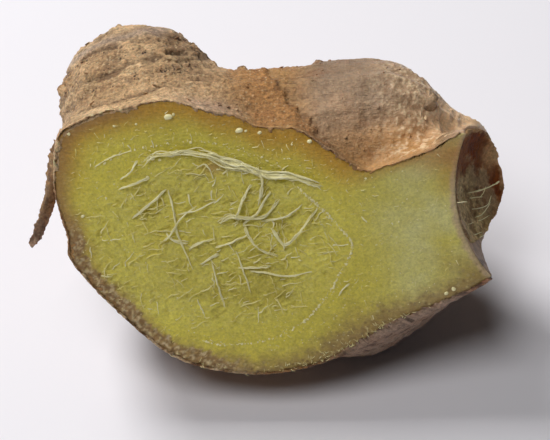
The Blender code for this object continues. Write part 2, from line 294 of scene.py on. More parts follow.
points = mesh_points(skin_mesh)
parts = finger_parts(points)
relief, rings = skin_relief(points, *parts)
knob_share = parts[0][3]
KNOB_AXIS = parts[3][3]
wrinkles = np.abs(grain_noise(points, (0.3, 1.2, 1.2), 3.0, 3))
ring_lines = grain_noise(stretch_along(points, KNOB_AXIS, 1.7, 0.35), (1, 1, 1), 13.0, 3)
net = grain_noise(points, (0.9, 0.9, 0.9), 11.0, 3)
along_knob = parts[1][3] + 1.1 * grain_noise(points, (0.12, 0.12, 0.12), 37.0, 2)
broken = smooth_step((grain_noise(points, (0.3, 0.3, 0.3), 39.0, 2) + 0.25) / 0.3)
knob_creases = sum(np.exp(-((along_knob - place) / 0.42) ** 2) for place in KNOB_CREASES) * broken
knob_rows = sum(np.exp(-((along_knob - place) / 0.75) ** 2) for place in KNOB_SPECK_ROWS)
smooth_ring = np.exp(-((along_knob - KNOB_SMOOTH_RING) / 0.8) ** 2) * knob_share
crumbs = grain_noise(points, (2.1, 2.1, 2.1), 43.0, 2)
right_end = smooth_step((points[:, 0] - 9) / 9) * smooth_step((points[:, 1] - 2) / 6)
slanting = points @ np.array([[0.62, 0.78, 0], [-0.78, 0.62, 0.2], [0, 0.1, 1]]).T
fan = np.abs(grain_noise(slanting, (0.3, 1.2, 0.7), 21.0, 2))
lobe = smooth_step((points[:, 0] - 1) / 5) * smooth_step((points[:, 1] - 8) / 6)
fine = 0.22 * (0.25 - wrinkles) * (1 - knob_share) * (1 - 0.6 * lobe) + 0.07 * net
fine += knob_share * (0.16 * ring_lines + 0.10 * net + 0.13 * crumbs) * (1 - 0.8 * smooth_ring)
fine += 0.10 * crumbs * (1 - knob_share) * (1 - lobe) - 0.3 * knob_creases * knob_share
fine += 0.26 * right_end * (0.2 - fan)
scale_line = 0.8 * (SCALE_EDGE_HEIGHT - points @ SEEN_UP) - points[:, 0] + 1.2 * net
scale_side = smooth_step(scale_line / 0.7 + 0.5) * smooth_step((points[:, 1] - 10) / 4)
granular = np.maximum(knob_share, 0.7 * scale_side)
fine += (0.14 + 0.08 * net + 0.10 * crumbs) * scale_side * (1 - knob_share)
from_cut = smooth_step((-points[:, 2] - 0.4) / 1.5)
from_break = smooth_step((np.linalg.norm(points - BREAK_CENTRE, axis=1) - BREAK_RADIUS - 0.1) / 0.9)
from_rim = smooth_step((-points[:, 2] - 1.0) / 7)
height = (relief * (1 - 0.3 * knob_share) * from_rim + fine * from_cut) * from_break
points += mesh_normals(skin_mesh) * height[:, None]
lean = math.radians(CUT_LEAN)
above_floor = points[:, 1] * math.cos(lean) + points[:, 2] * math.sin(lean) + CUT_MIDDLE.z / MM
sunk = np.maximum(0.0, -above_floor)
points[:, 1] += sunk * math.cos(lean)
points[:, 2] += sunk * math.sin(lean)
move_points(skin_mesh, points)

# Colours of the skin over the knob, the valley, the lobe and the hidden underside.
TAN = shade(236, 198, 150)
WARM_TAN = shade(186, 142, 90)
MAUVE_BROWN = shade(162, 134, 106)
GOLDEN = shade(184, 134, 78)
GREY_VIOLET_PAINTED_LIGHT = shade(240, 202, 156)
UNDERSIDE = shade(146, 118, 94)
PINK_GREY = shade(176, 146, 128)
# Dark brown of cracks, scale edges, tips and streaks, also used as the painted shade in creases.
DARK_BROWN_AND_CREASE_SHADE = shade(84, 56, 36)
SMOOTH_RING = shade(206, 182, 160)
ROW_BROWN = shade(140, 98, 64)
RIDGE_PALE_AND_HIGHLIGHT = shade(236, 212, 174)
SCALE_ORANGE = shade(172, 118, 62)
BELLY_PINK = shade(170, 142, 122)
LAMP_FACING_BROWN = shade(164, 126, 94)
SEEN_GAINS = [   # place and reach as the viewer sees them, share lighter or darker
    ((7.5, 22.6, 0), (5, 2.6, 1), 0.30), ((20.0, 22.6, 0), (3.5, 3, 1), 0.4),
    ((12.6, 16.6, 0), (6, 2.2, 1), -0.22), ((7, 27.8, 0), (7, 2.2, 1), -0.18),
    ((-13.3, 29, 0), (4, 3, 1), -0.20), ((-30.5, 21, 0), (3, 5, 1), -0.22),
    ((-7.7, 25.5, 0), (3, 2, 1), 0.20),
]


def blend_tone(tone, colour, share):
    share = np.clip(np.reshape(share, (-1, 1)), 0, 1)
    return tone * (1 - share) + colour * share


def bump_at(points, centre, reach):
    """1 at a place, falling to 0 over its reach in x, y and z."""
    return np.exp(-(((points - np.array(centre)) / np.array(reach)) ** 2).sum(axis=1))


def skin_tone(points, knob_share):
    """The colour of the skin at each point, before the painted shade in creases and the fine streaks."""
    x, y, z = points.T
    blotch = grain_noise(points, (0.14, 0.14, 0.14), 31.0, 3)
    tone = np.tile(WARM_TAN, (len(points), 1))
    tone = blend_tone(tone, TAN, smooth_step((knob_share - 0.2) / 0.5) * (0.85 + 0.4 * blotch))
    tone = blend_tone(tone, MAUVE_BROWN, smooth_step((x + 1) / 6) * smooth_step((y - 14) / 6))
    tone = blend_tone(tone, GOLDEN, 0.85 * bump_at(points, (14, 17, -3), (10, 3.4, 5)))
    # Painted light: the grey-violet of the right end is lighter than the skin is, standing in for light on
    # slopes that the lamps leave in shade.
    tone = blend_tone(tone, GREY_VIOLET_PAINTED_LIGHT, smooth_step((x - 18) / 5) * smooth_step((-z - 4) / 6))
    tone = blend_tone(tone, UNDERSIDE, smooth_step((6 - y) / 8) * smooth_step((-z - 2) / 4))
    tone = blend_tone(tone, PINK_GREY, 0.7 * bump_at(points, (-11, 24, -1.5), (5, 2.2, 2.2)))
    return tone * (1 + 0.22 * blotch)[:, None]


tone = skin_tone(points, knob_share)
tone = blend_tone(tone, SMOOTH_RING, 0.8 * smooth_ring)
right_of_knob = smooth_step((points[:, 0] + 9) / 5)
tone = blend_tone(tone, SCALE_ORANGE, 0.6 * scale_side * (1 - knob_share) * right_of_knob)
scale_edge = 0.4 * np.exp(-((scale_line / 0.45) ** 2)) * (points[:, 1] > 12)
tone = blend_tone(tone, DARK_BROWN_AND_CREASE_SHADE, scale_edge * (1 - knob_share))
tone = blend_tone(tone, ROW_BROWN, 0.4 * bump_at(points, (-10.5, 23, -12), (5, 7, 7)))
belly = smooth_step((points[:, 0] - 1) / 5) * smooth_step((4 - points[:, 1]) / 5)
belly *= smooth_step((points[:, 2] + 8) / 4)
tone = blend_tone(tone, BELLY_PINK, 0.8 * belly)
belly_cracks = smooth_step((grain_noise(points, (0.5, 0.9, 0.9), 77.0, 3) - 0.1) / 0.2)
tone = blend_tone(tone, DARK_BROWN_AND_CREASE_SHADE, 0.8 * belly * belly_cracks)
tone = blend_tone(tone, ROW_BROWN, 0.4 * knob_rows * knob_share * smooth_step((net + 0.2) / 0.4))
# Paler skin on the fan ridges of the lobe, with a painted highlight on their tops.
fan_ridge_highlight = right_end * (1 - smooth_step((fan - 0.02) / 0.14)) * from_cut
tone = blend_tone(tone, RIDGE_PALE_AND_HIGHLIGHT, 0.75 * fan_ridge_highlight * (1 - knob_share))
# Painted shade: the skin is darkened where its relief sinks, in the creases and hollows, less so at the
# right end.
crease_shade = smooth_step((-height - 0.02) / 0.45) * 0.3 + smooth_step((-fine - 0.03) / 0.16) * 0.35
tone = blend_tone(tone, DARK_BROWN_AND_CREASE_SHADE, crease_shade * from_cut * (1 - 0.7 * right_end))
# Painted light: the right end of the lobe is lightened further, standing in for light on its shaded slope.
tone *= (1 + 0.35 * right_end)[:, None]
# Painted light and shade: raised fine relief is lightened and its dips are darkened.
tone *= 1 + 0.5 * np.clip(fine, -0.1, 0.2)[:, None]
seen = np.column_stack([points[:, 0], points @ SEEN_UP, np.zeros(len(points))])
for centre, reach, gain in SEEN_GAINS:
    tone *= (1 + gain * bump_at(seen, centre, reach))[:, None]
# Where the right end faces the window lamp, the painted light is taken back to a plain brown.
tone = blend_tone(tone, LAMP_FACING_BROWN, 0.8 * bump_at(points, (25.0, 18.5, -8), (5.0, 5.5, 9)))
tone /= np.maximum(1, tone.max(axis=1) / 0.86)[:, None]
paint(skin_mesh, "tone", np.clip(tone, 0.01, 0.9))
paint(skin_mesh, "knob", granular)
speck = knob_share * (0.12 + 0.88 * np.clip(knob_rows, 0, 1)) * (1 - smooth_ring)
speck += 0.18 * (1 - knob_share) * (points[:, 1] > 8)
paint(skin_mesh, "speck", np.clip(speck, 0, 1))
paint(skin_mesh, "gloss", np.clip(right_end + 0.3 * smooth_step((points[:, 0] + 2) / 6), 0, 1))


def add_node(tree, kind, inputs=(), **settings):
    """A node with its settings made, and its sockets set or linked."""
    made = tree.nodes.new(kind)
    for name, value in settings.items():
        setattr(made, name, value)
    for name, value in dict(inputs).items():
        if isinstance(value, bpy.types.NodeSocket):
            tree.links.new(value, made.inputs[name])
        else:
            made.inputs[name].default_value = value
    return made


def new_finish(name, **sockets):
    """A material with its shader's own sockets set."""
    finish = bpy.data.materials.new(name)
    finish.use_nodes = True
    shader = finish.node_tree.nodes["Principled BSDF"]
    for socket, value in sockets.items():
        shader.inputs[socket.replace("_", " ")].default_value = value
    return finish, finish.node_tree, shader


def mixed(tree, blend, share, first, second):
    """A colour mixed from two by one blend mode."""
    node = add_node(tree, 'ShaderNodeMix', {0: share, 6: first, 7: second},
                    data_type='RGBA', blend_type=blend)
    return node.outputs[2]


def ramp(tree, value, low, high, to_low=0.0, to_high=1.0):
    """A number stretched from one span to another and kept inside it."""
    return add_node(tree, 'ShaderNodeMapRange', {"Value": value, "From Min": low, "From Max": high,
                                                 "To Min": to_low, "To Max": to_high}).outputs[0]


def math_of(tree, operation, *values):
    return add_node(tree, 'ShaderNodeMath', dict(enumerate(values)), operation=operation).outputs[0]


skin_finish, tree, shader = new_finish("ginger_skin", Subsurface_Weight=0.08, Subsurface_Scale=0.0012,
                                       Specular_IOR_Level=0.45)
tone_in = add_node(tree, 'ShaderNodeAttribute', attribute_name="tone").outputs["Color"]
knob_in = add_node(tree, 'ShaderNodeAttribute', attribute_name="knob").outputs["Fac"]
speck_in = add_node(tree, 'ShaderNodeAttribute', attribute_name="speck").outputs["Fac"]
gloss_in = add_node(tree, 'ShaderNodeAttribute', attribute_name="gloss").outputs["Fac"]
place = add_node(tree, 'ShaderNodeTexCoord').outputs["Object"]
body_place = add_node(tree, 'ShaderNodeMapping', {"Vector": place, "Scale": (600, 3300, 3300)})
body_streaks = add_node(tree, 'ShaderNodeTexNoise', {"Vector": body_place.outputs[0], "Scale": 1.0,
                                                     "Detail": 4.0, "Roughness": 0.6})
knob_axis = tuple(into_frame.to_3x3().normalized() @ Vector(KNOB_AXIS))
knob_along = add_node(tree, 'ShaderNodeVectorMath', {0: place, 1: knob_axis}, operation='DOT_PRODUCT')
knob_shift = add_node(tree, 'ShaderNodeVectorMath', {0: knob_axis, "Scale": knob_along.outputs["Value"]},
                      operation='SCALE')
knob_place = add_node(tree, 'ShaderNodeVectorMath', {0: knob_shift.outputs[0], 1: (2.0, 2.0, 2.0), 2: place},
                      operation='MULTIPLY_ADD')
knob_streaks = add_node(tree, 'ShaderNodeTexNoise', {"Vector": knob_place.outputs[0], "Scale": 1500.0,
                                                     "Detail": 4.0, "Roughness": 0.65})
streaks = add_node(tree, 'ShaderNodeMix', {0: knob_in, 2: body_streaks.outputs[0],
                                           3: knob_streaks.outputs[0]})
mottle = add_node(tree, 'ShaderNodeTexNoise', {"Vector": place, "Scale": 1700.0, "Detail": 4.0,
                                               "Roughness": 0.72})
patches = add_node(tree, 'ShaderNodeTexNoise', {"Vector": place, "Scale": 260.0, "Detail": 3.0})
streak_low = math_of(tree, 'MULTIPLY_ADD', knob_in, -0.16, 0.84)
streak_high = math_of(tree, 'MULTIPLY_ADD', knob_in, 0.14, 1.14)
light_dark = ramp(tree, streaks.outputs[0], 0.3, 0.7, streak_low, streak_high)
skin_colour = mixed(tree, 'MULTIPLY', 1.0, tone_in, add_node(tree, 'ShaderNodeCombineColor', {
    0: light_dark, 1: light_dark, 2: light_dark}).outputs[0])
calm = math_of(tree, 'MULTIPLY_ADD', gloss_in, 0.16, math_of(tree, 'MULTIPLY_ADD', knob_in, -0.14, 0.72))
mottled = ramp(tree, mottle.outputs[0], 0.34, 0.68, calm, math_of(tree, 'SUBTRACT', 2.0, calm))
skin_colour = mixed(tree, 'MULTIPLY', 1.0, skin_colour, add_node(tree, 'ShaderNodeCombineColor', {
    0: mottled, 1: mottled, 2: mottled}).outputs[0])
skin_colour = mixed(tree, 'MIX', ramp(tree, patches.outputs[0], 0.55, 0.72, 0.0, 0.35), skin_colour,
                    (*shade(150, 98, 58), 1))
rough_in = math_of(tree, 'SUBTRACT', math_of(tree, 'MULTIPLY_ADD', knob_in, 0.6, 0.4),
                   math_of(tree, 'MULTIPLY', gloss_in, 0.35))
scabs = add_node(tree, 'ShaderNodeTexNoise', {"Vector": place, "Scale": 1250.0, "Detail": 5.0,
                                              "Roughness": 0.78})
scab_share = math_of(tree, 'MULTIPLY', ramp(tree, scabs.outputs[0], 0.33, 0.46, 0.6, 0.0), rough_in)
skin_colour = mixed(tree, 'MIX', scab_share, skin_colour, (*shade(118, 84, 56), 1))
grit = add_node(tree, 'ShaderNodeTexVoronoi', {"Vector": place, "Scale": 2300.0})
grit_pick = add_node(tree, 'ShaderNodeSeparateColor', {0: grit.outputs["Color"]})
grain_share = math_of(tree, 'MULTIPLY', ramp(tree, grit_pick.outputs[0], 0.62, 0.95, 0.0, 0.65), rough_in)
grain_share = math_of(tree, 'MULTIPLY', grain_share,
                      ramp(tree, grit.outputs["Distance"], 0.15, 0.5, 1.0, 0.0))
grain_share = math_of(tree, 'MULTIPLY', grain_share, ramp(tree, speck_in, 0.0, 0.1))
skin_colour = mixed(tree, 'MIX', grain_share, skin_colour, (*shade(232, 208, 168), 1))
dots = add_node(tree, 'ShaderNodeTexVoronoi', {"Vector": place, "Scale": 1900.0})
dot_size = ramp(tree, dots.outputs["Distance"], 0.26, 0.42, 1.0, 0.0)
clusters = add_node(tree, 'ShaderNodeTexNoise', {"Vector": place, "Scale": 520.0, "Detail": 3.0})
cluster_share = ramp(tree, clusters.outputs[0], 0.50, 0.56)
dot_share = math_of(tree, 'MULTIPLY', math_of(tree, 'MULTIPLY', dot_size, cluster_share), speck_in)
skin_colour = mixed(tree, 'MIX', dot_share, skin_colour, (*shade(62, 44, 32), 1))
tree.links.new(skin_colour, shader.inputs["Base Color"])
rough = ramp(tree, mottle.outputs[0], 0.3, 0.7, 0.46, 0.72)
rough = math_of(tree, 'MULTIPLY_ADD', gloss_in, -0.24, rough)
tree.links.new(rough, shader.inputs["Roughness"])
bump = add_node(tree, 'ShaderNodeBump', {"Height": streaks.outputs[0], "Distance": 0.00025, "Strength": 0.7})
bump = add_node(tree, 'ShaderNodeBump', {"Height": mottle.outputs[0], "Distance": 0.00026, "Strength": 0.8,
                                         "Normal": bump.outputs[0]})
crust = math_of(tree, 'MULTIPLY', scabs.outputs[0], rough_in)
bump = add_node(tree, 'ShaderNodeBump', {"Height": crust, "Distance": 0.0006, "Strength": 1.0,
                                         "Normal": bump.outputs[0]})
tree.links.new(bump.outputs[0], shader.inputs["Normal"])

flake_base = skin_mesh.copy()
flaky = (0.25 + 0.75 * knob_share * (1 - smooth_ring)) * from_cut * from_break * (above_floor > 1.0)
paint(flake_base, "flaky", flaky * smooth_step((net + 0.15) / 0.3))
skin = show("ginger_skin", skin_mesh)
skin_mesh.materials.clear()
skin_mesh.materials.append(skin_finish)
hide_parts("ginger_root")
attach(skin, "root")

# Flakes of dry skin: small papery scales that lift from the knob, the rings and the ridge.
# Each is a thin crumpled lens lying on the skin with one edge raised. They are scattered
# over the skin and take its colour where they lie.
def new_growth(name, **sockets):
    """A geometry tree with named inputs; returns it, its inputs and its output node."""
    tree = bpy.data.node_groups.new(name, 'GeometryNodeTree')
    tree.interface.new_socket("Geometry", in_out='INPUT', socket_type='NodeSocketGeometry')
    for label, value in sockets.items():
        kind = {int: 'NodeSocketInt', float: 'NodeSocketFloat'}.get(type(value), 'NodeSocketMaterial')
        socket = tree.interface.new_socket(label.replace("_", " "), in_out='INPUT', socket_type=kind)
        socket.default_value = value
    tree.interface.new_socket("Geometry", in_out='OUTPUT', socket_type='NodeSocketGeometry')
    return tree, tree.nodes.new('NodeGroupInput').outputs, tree.nodes.new('NodeGroupOutput')


def end_growth(tree, last, geometry, finish):
    """Smooth the grown geometry, make it real and give it its finish."""
    smooth = add_node(tree, 'GeometryNodeSetShadeSmooth', {"Geometry": geometry})
    real = add_node(tree, 'GeometryNodeRealizeInstances', {"Geometry": smooth.outputs[0]})
    coated = add_node(tree, 'GeometryNodeSetMaterial', {"Geometry": real.outputs[0], "Material": finish})
    tree.links.new(coated.outputs[0], last.inputs[0])


def grow(name, mesh, tree, **values):
    """Run a geometry tree on a mesh and return the piece made of its result."""
    holder = bpy.data.objects.new(name + "_base", mesh)
    bpy.context.scene.collection.objects.link(holder)
    modifier = holder.modifiers.new("growth", 'NODES')
    modifier.node_group = tree
    for item in tree.interface.items_tree:
        label = item.name.replace(" ", "_")
        if item.in_out == 'INPUT' and label in values:
            modifier[item.identifier] = values[label]
    return show(name, finished_mesh(holder))


def random_between(tree, low, high, seed, shift):
    """A random number for each point, from a seed moved on by a shift."""
    moved = math_of(tree, 'ADD', seed, float(shift))
    return add_node(tree, 'FunctionNodeRandomValue', {2: low, 3: high, "Seed": moved}).outputs[1]


def wandering(tree, geometry, reach, scale, spread=0.0):
    """Push each point aside by smooth noise, differently for each copy of a spline."""
    shifted = add_node(tree, 'ShaderNodeTexNoise', {"W": spread, "Scale": scale, "Detail": 2.0},
                       noise_dimensions='4D')
    here = add_node(tree, 'GeometryNodeInputPosition').outputs[0]
    tree.links.new(here, shifted.inputs["Vector"])
    middle = add_node(tree, 'ShaderNodeVectorMath', {0: shifted.outputs["Color"], 1: (0.5, 0.5, 0.5)},
                      operation='SUBTRACT')
    pushed = add_node(tree, 'ShaderNodeVectorMath', {0: middle.outputs[0], "Scale": reach},
                      operation='SCALE')
    moved = add_node(tree, 'GeometryNodeSetPosition', {"Geometry": geometry, "Offset": pushed.outputs[0]})
    return moved.outputs[0]


tree, given, last = new_growth("skin_flakes", Spacing=0.55, Size=0.62, Seed=21, Skin=skin_finish)
scatter = add_node(tree, 'GeometryNodeDistributePointsOnFaces', {"Mesh": given["Geometry"],
                   "Distance Min": given["Spacing"], "Density Max": 0.5, "Seed": given["Seed"]},
                   distribute_method='POISSON')
flaky = add_node(tree, 'GeometryNodeInputNamedAttribute', {"Name": "flaky"}).outputs[0]
tree.links.new(flaky, scatter.inputs["Density Factor"])
scale_form = add_node(tree, 'GeometryNodeMeshIcoSphere', {"Radius": 1.0, "Subdivisions": 2})
seed = given["Seed"]
size = math_of(tree, 'MULTIPLY', math_of(tree, 'POWER', random_between(tree, 0.45, 1.0, seed, 1), 2.0),
               given["Size"])
shape = add_node(tree, 'ShaderNodeCombineXYZ', {
    0: size, 1: math_of(tree, 'MULTIPLY', size, random_between(tree, 0.4, 0.9, seed, 2)), 2: 0.07})
tilt = add_node(tree, 'ShaderNodeCombineXYZ', {0: random_between(tree, -0.5, 0.5, seed, 3),
                                               1: random_between(tree, -0.5, 0.5, seed, 4),
                                               2: random_between(tree, 0.0, math.tau, seed, 5)})
tilted = add_node(tree, 'FunctionNodeRotateRotation', {
    "Rotation": scatter.outputs["Rotation"],
    "Rotate By": add_node(tree, 'FunctionNodeEulerToRotation', {0: tilt.outputs[0]}).outputs[0]},
    rotation_space='LOCAL')
placed = add_node(tree, 'GeometryNodeInstanceOnPoints', {
    "Points": scatter.outputs[0], "Instance": scale_form.outputs[0],
    "Rotation": tilted.outputs[0], "Scale": shape.outputs[0]})
real = add_node(tree, 'GeometryNodeRealizeInstances', {"Geometry": placed.outputs[0]})
end_growth(tree, last, wandering(tree, real.outputs[0], 0.5, 1.4), given["Skin"])
flakes = grow("skin_flakes", flake_base, tree, Seed=21)
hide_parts("ginger_root")
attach(flakes, "root")

# The lip of the skin round the cut: dry skin torn a little by the knife, standing just
# proud of the flesh, narrow on the left and broad where it faces the viewer at the lower
# right. It is one closed strip of skin swept round the outline, open at the broken end.
LIP_TURNS = (math.radians(41.5), math.radians(357.0))
LIP_STEPS = 1500
lip_turns = np.linspace(*LIP_TURNS, LIP_STEPS)
lip_rim = outline_radius(lip_turns)
lip_places = np.column_stack([np.cos(lip_turns) * lip_rim, np.sin(lip_turns) * lip_rim, np.zeros(LIP_STEPS)])
ragged = grain_noise(lip_places, (0.5, 0.5, 1), 61.0, 4)
crumbling = np.maximum(0, grain_noise(lip_places, (1.6, 1.6, 1), 67.0, 3))
top_side = smooth_step((lip_places[:, 1] - 6) / 8)
lip_width = skin_band(lip_turns) * (1 - 0.25 * top_side) * (1 + 0.5 * ragged) + 0.3 * crumbling
lip_width += 0.9 * top_side * np.maximum(0, ragged + 0.05)
LIP_PROFILE = [(-1.2, -2.8, 0), (-0.6, -1.2, 0), (-0.08, -0.35, 0), (-0.04, -0.02, 0.1), (0.0, 0.08, 0.5),
               (0.0, 0.03, 1.0), (0.0, -0.5, 1.05), (-0.5, -1.3, 0.4), (-0.8, -2.4, 0)]
lip_points = []
for out, height, share in LIP_PROFILE:
    radius = lip_rim + out - share * lip_width
    drop = height - 0.4 * (skin_band(lip_turns) - 0.35) * (height > -1) * (1 - min(share, 1))
    row = np.column_stack([np.cos(lip_turns) * radius, np.sin(lip_turns) * radius, drop])
    rough = 0.10 + 0.05 * (height > 0)
    row += rough * np.column_stack([grain_noise(row, (1.1, 1.1, 1.1), shift, 3) for shift in (3, 23, 43)])
    lip_points.append(row)
lip_points = np.array(lip_points).transpose(1, 0, 2).reshape(-1, 3)


def swept_mesh(name, points, around):
    """A closed tube through rings of points, capped at both ends."""
    rings = len(points) // around
    faces = []
    for ring in range(rings - 1):
        for step in range(around):
            here, after = ring * around + step, ring * around + (step + 1) % around
            faces.append((here, here + around, after + around, after))
    faces.append(tuple(range(around)))
    faces.append(tuple(range((rings - 1) * around, rings * around)))
    mesh = bpy.data.meshes.new(name)
    mesh.from_pydata(points.tolist(), [], faces)
    form = bmesh.new()
    form.from_mesh(mesh)
    bmesh.ops.recalc_face_normals(form, faces=form.faces)
    form.to_mesh(mesh)
    form.free()
    return mesh


def paint_skin(mesh, tone, knob=0.0, speck=0.0, gloss=0.0):
    """The values that the skin's finish reads at each point."""
    paint(mesh, "tone", np.clip(tone, 0.01, 0.9))
    for name, value in {"knob": knob, "speck": speck, "gloss": gloss}.items():
        paint(mesh, name, np.full(len(tone), value))
    mesh.materials.clear()
    mesh.materials.append(skin_finish)


lip_mesh = swept_mesh("skin_lip", lip_points, len(LIP_PROFILE))
LIP_BROWN = shade(150, 112, 68)
LIP_PINK = shade(176, 148, 126)
LIP_DARK = shade(74, 50, 34)
LIP_RUST = shade(168, 104, 56)
LIP_PALE = shade(214, 188, 148)
points = mesh_points(lip_mesh)
x, y, z = points.T
tone = np.tile(LIP_BROWN, (len(points), 1))
knob_near = smooth_step((y - 8) / 6) * smooth_step((-x - 4) / 8)
tone = blend_tone(tone, skin_tone(points, knob_near), smooth_step((y - 5) / 8))
tone = blend_tone(tone, LIP_PINK, smooth_step((x - 4) / 8) * smooth_step((4 - y) / 6))
tone = blend_tone(tone, LIP_RUST, 0.8 * bump_at(points, (26.2, -1.6, 0), (2.6, 2.0, 3)))
cracks = grain_noise(points, (0.7, 0.7, 0.7), 71.0, 3)
low_left = smooth_step((-3 - x) / 6) * smooth_step((4 - y) / 6)
tone = blend_tone(tone, LIP_PALE, low_left * smooth_step((0.22 - cracks) / 0.3))
tone = blend_tone(tone, LIP_DARK, smooth_step((cracks - 0.22) / 0.2) * 0.75 * smooth_step((10 - y) / 6))
tone *= (1 + 0.35 * grain_noise(points, (1.5, 1.5, 1.5), 73.0, 3))[:, None]
paint_skin(lip_mesh, tone, knob=knob_near, speck=0.3)
lip = show("skin_lip", lip_mesh)
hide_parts("ginger_root")
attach(lip, "root")

# Root stubs: the broken feet of the thin roots that grew from the underside and the rings,
# and the few that stand on the silhouette. Each is a short tapered peg, lumpy and darker at
# its broken tip, set on the skin and leaning out from it.
ROOT_STUBS = [   # turn round the cut, depth below it, length
    (131, 30, 0.8), (124, 44, 0.7), (112, 40, 0.9), (106, 34, 0.9), (146, 20, 0.7),
    (56, 42, 0.9), (47, 20, 1.5), (80, 38, 0.6), (205, 42, 1.0), (192, 26, 0.8),
    (250, 78, 1.0), (345, 40, 0.9), (332, 62, 0.8), (170, 58, 1.0), (20, 60, 0.9),
]
STUB_SIDES = 16
STUB_ROWS = [   # height in millimetres below the skin and as a share of the length above it, radius
    (-1.2, 1.0), (-0.5, 1.0), (0.0, 0.95), (0.3, 0.8), (0.6, 0.66), (0.85, 0.62), (1.0, 0.5), (0.92, 0.25),
]
stub_points, stub_faces, stub_tips = [], [], []
for turn, depth, length in ROOT_STUBS:
    turn, depth = math.radians(turn), math.radians(depth)
    outward = np.array((math.cos(turn) * math.cos(depth), math.sin(turn) * math.cos(depth),
                        -math.sin(depth)))
    reach = 0.0
    for _ in range(40):
        reach -= float(body_gap((outward * reach)[None])[0])
    aside = np.cross(outward, (0, 0, 1.0))
    aside /= np.linalg.norm(aside)
    above = np.cross(outward, aside)
    first = len(stub_points)
    for height, girth in STUB_ROWS:
        along = reach + (height * length if height > 0 else height)
        for step in range(STUB_SIDES):
            spin = step / STUB_SIDES * math.tau
            stub_points.append(outward * along + (aside * math.cos(spin) + above * math.sin(spin)) * girth)
            stub_tips.append(max(height, 0.0))
    for row in range(len(STUB_ROWS) - 1):
        for step in range(STUB_SIDES):
            here, after = first + row * STUB_SIDES + step, first + row * STUB_SIDES + (step + 1) % STUB_SIDES
            stub_faces.append((here, here + STUB_SIDES, after + STUB_SIDES, after))
    stub_faces.append(tuple(range(first, first + STUB_SIDES)))
    last = first + (len(STUB_ROWS) - 1) * STUB_SIDES
    stub_faces.append(tuple(range(last, last + STUB_SIDES))[::-1])
stub_points = np.array(stub_points)
stub_points += 0.16 * np.column_stack([grain_noise(stub_points, (0.9, 0.9, 0.9), shift, 2)
                                       for shift in (4, 24, 44)])
stub_mesh = bpy.data.meshes.new("root_stubs")
stub_mesh.from_pydata(stub_points.tolist(), [], stub_faces)
form = bmesh.new()
form.from_mesh(stub_mesh)
bmesh.ops.recalc_face_normals(form, faces=form.faces)
form.to_mesh(stub_mesh)
form.free()
near_parts = finger_parts(stub_points)
tone = skin_tone(stub_points, near_parts[0][3])
tone = blend_tone(tone, DARK_BROWN_AND_CREASE_SHADE, 0.55 * smooth_step((np.array(stub_tips) - 0.7) / 0.2))
paint_skin(stub_mesh, tone, knob=0.7, speck=0.2)
stubs = show("root_stubs", stub_mesh)
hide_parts("ginger_root")
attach(stubs, "root")

# The cut face: moist yellow-green flesh, sliced by a knife. It has a fibrous core inside a
# thin ring, a smooth outer flesh that pales to the right and browns towards the skin.
# It is one slab with its front in relief, set into the skin.
FLESH_CELL = 0.2
FLESH_COLUMNS = 330
FLESH_ROWS = 225
FLESH_CENTRE = (-2.0, 4.2, 0)
SLAB_DEPTH = 1.1
CUT_WAVE_HEIGHT = 0.35
CORE_CENTRE = (-10.5, 3.8)
CORE_REACH = (19.6, 13.9)


def break_entry(turns):
    """How far along each way from the middle of the cut the broken end begins."""
    ways = np.stack([np.cos(turns), np.sin(turns)], axis=1)
    along = ways @ BREAK_CENTRE[:2]
    miss = (BREAK_CENTRE[:2] @ BREAK_CENTRE[:2]) - along ** 2
    chord = BREAK_RADIUS ** 2 - BREAK_CENTRE[2] ** 2 - miss
    return np.where((chord > 0) & (along > 0), along - np.sqrt(np.maximum(chord, 0)), 1e3)


def flesh_radius(turns):
    """The edge of the flesh: inside the skin's own edge, and short of the break."""
    wobble = 0.18 * np.sin(turns * 31 + 1.3) + 0.14 * np.sin(turns * 57) + 0.1 * np.sin(turns * 93 + 2)
    inside = outline_radius(turns) - skin_band(turns) * (1 + 0.5 * wobble)
    return np.minimum(inside, break_entry(turns) + 0.02)


def core_place(x, y):
    """1 on the ring round the fibrous core, less inside it and more outside."""
    return np.hypot((x - CORE_CENTRE[0]) / CORE_REACH[0], (y - CORE_CENTRE[1]) / CORE_REACH[1])


def flesh_height(x, y):
    """Relief of the cut: knife waves, torn stubble in the core, fine grain elsewhere."""
    places = np.column_stack([x, y, np.zeros(len(x))])
    wave = CUT_WAVE_HEIGHT * grain_noise(places, (0.09, 0.09, 0.09))
    core = 1 - smooth_step((core_place(x, y) - 0.82) / 0.2)
    combed = places @ np.array([[0.87, 0.5, 0], [-0.5, 0.87, 0], [0, 0, 1]]).T
    crossed = places @ np.array([[0.47, -0.88, 0], [0.88, 0.47, 0], [0, 0, 1]]).T
    stubble = np.maximum(grain_noise(combed, (0.5, 1.9, 1), 5.0, 3),
                         grain_noise(crossed, (0.5, 2.1, 1), 9.0, 3))
    pits = np.minimum(0, grain_noise(places, (0.55, 0.55, 1), 15.0, 3) + 0.1)
    grain = grain_noise(places, (1.3, 1.3, 1), 19.0, 3)
    hollows = np.minimum(0, grain_noise(places, (0.16, 0.16, 1), 27.0, 2) + 0.05)
    return wave + core * (0.24 * stubble - 0.1 + 0.26 * pits + 0.3 * hollows) + 0.08 * grain


def cortex_share(x, y, from_edge):
    """1 in the rough band of cortex inside the skin at the left and lower left."""
    flat = np.column_stack([x, y, np.zeros(len(x))])
    width = 1.9 + 0.9 * grain_noise(flat, (0.3, 0.3, 1), 35.0, 3)
    width += 0.5 * grain_noise(flat, (1.3, 1.3, 1), 36.0, 2)
    low_left = smooth_step((-4 - x) / 6) * smooth_step((9 - y) / 6)
    return low_left * (1 - smooth_step((from_edge - width) / 0.5))


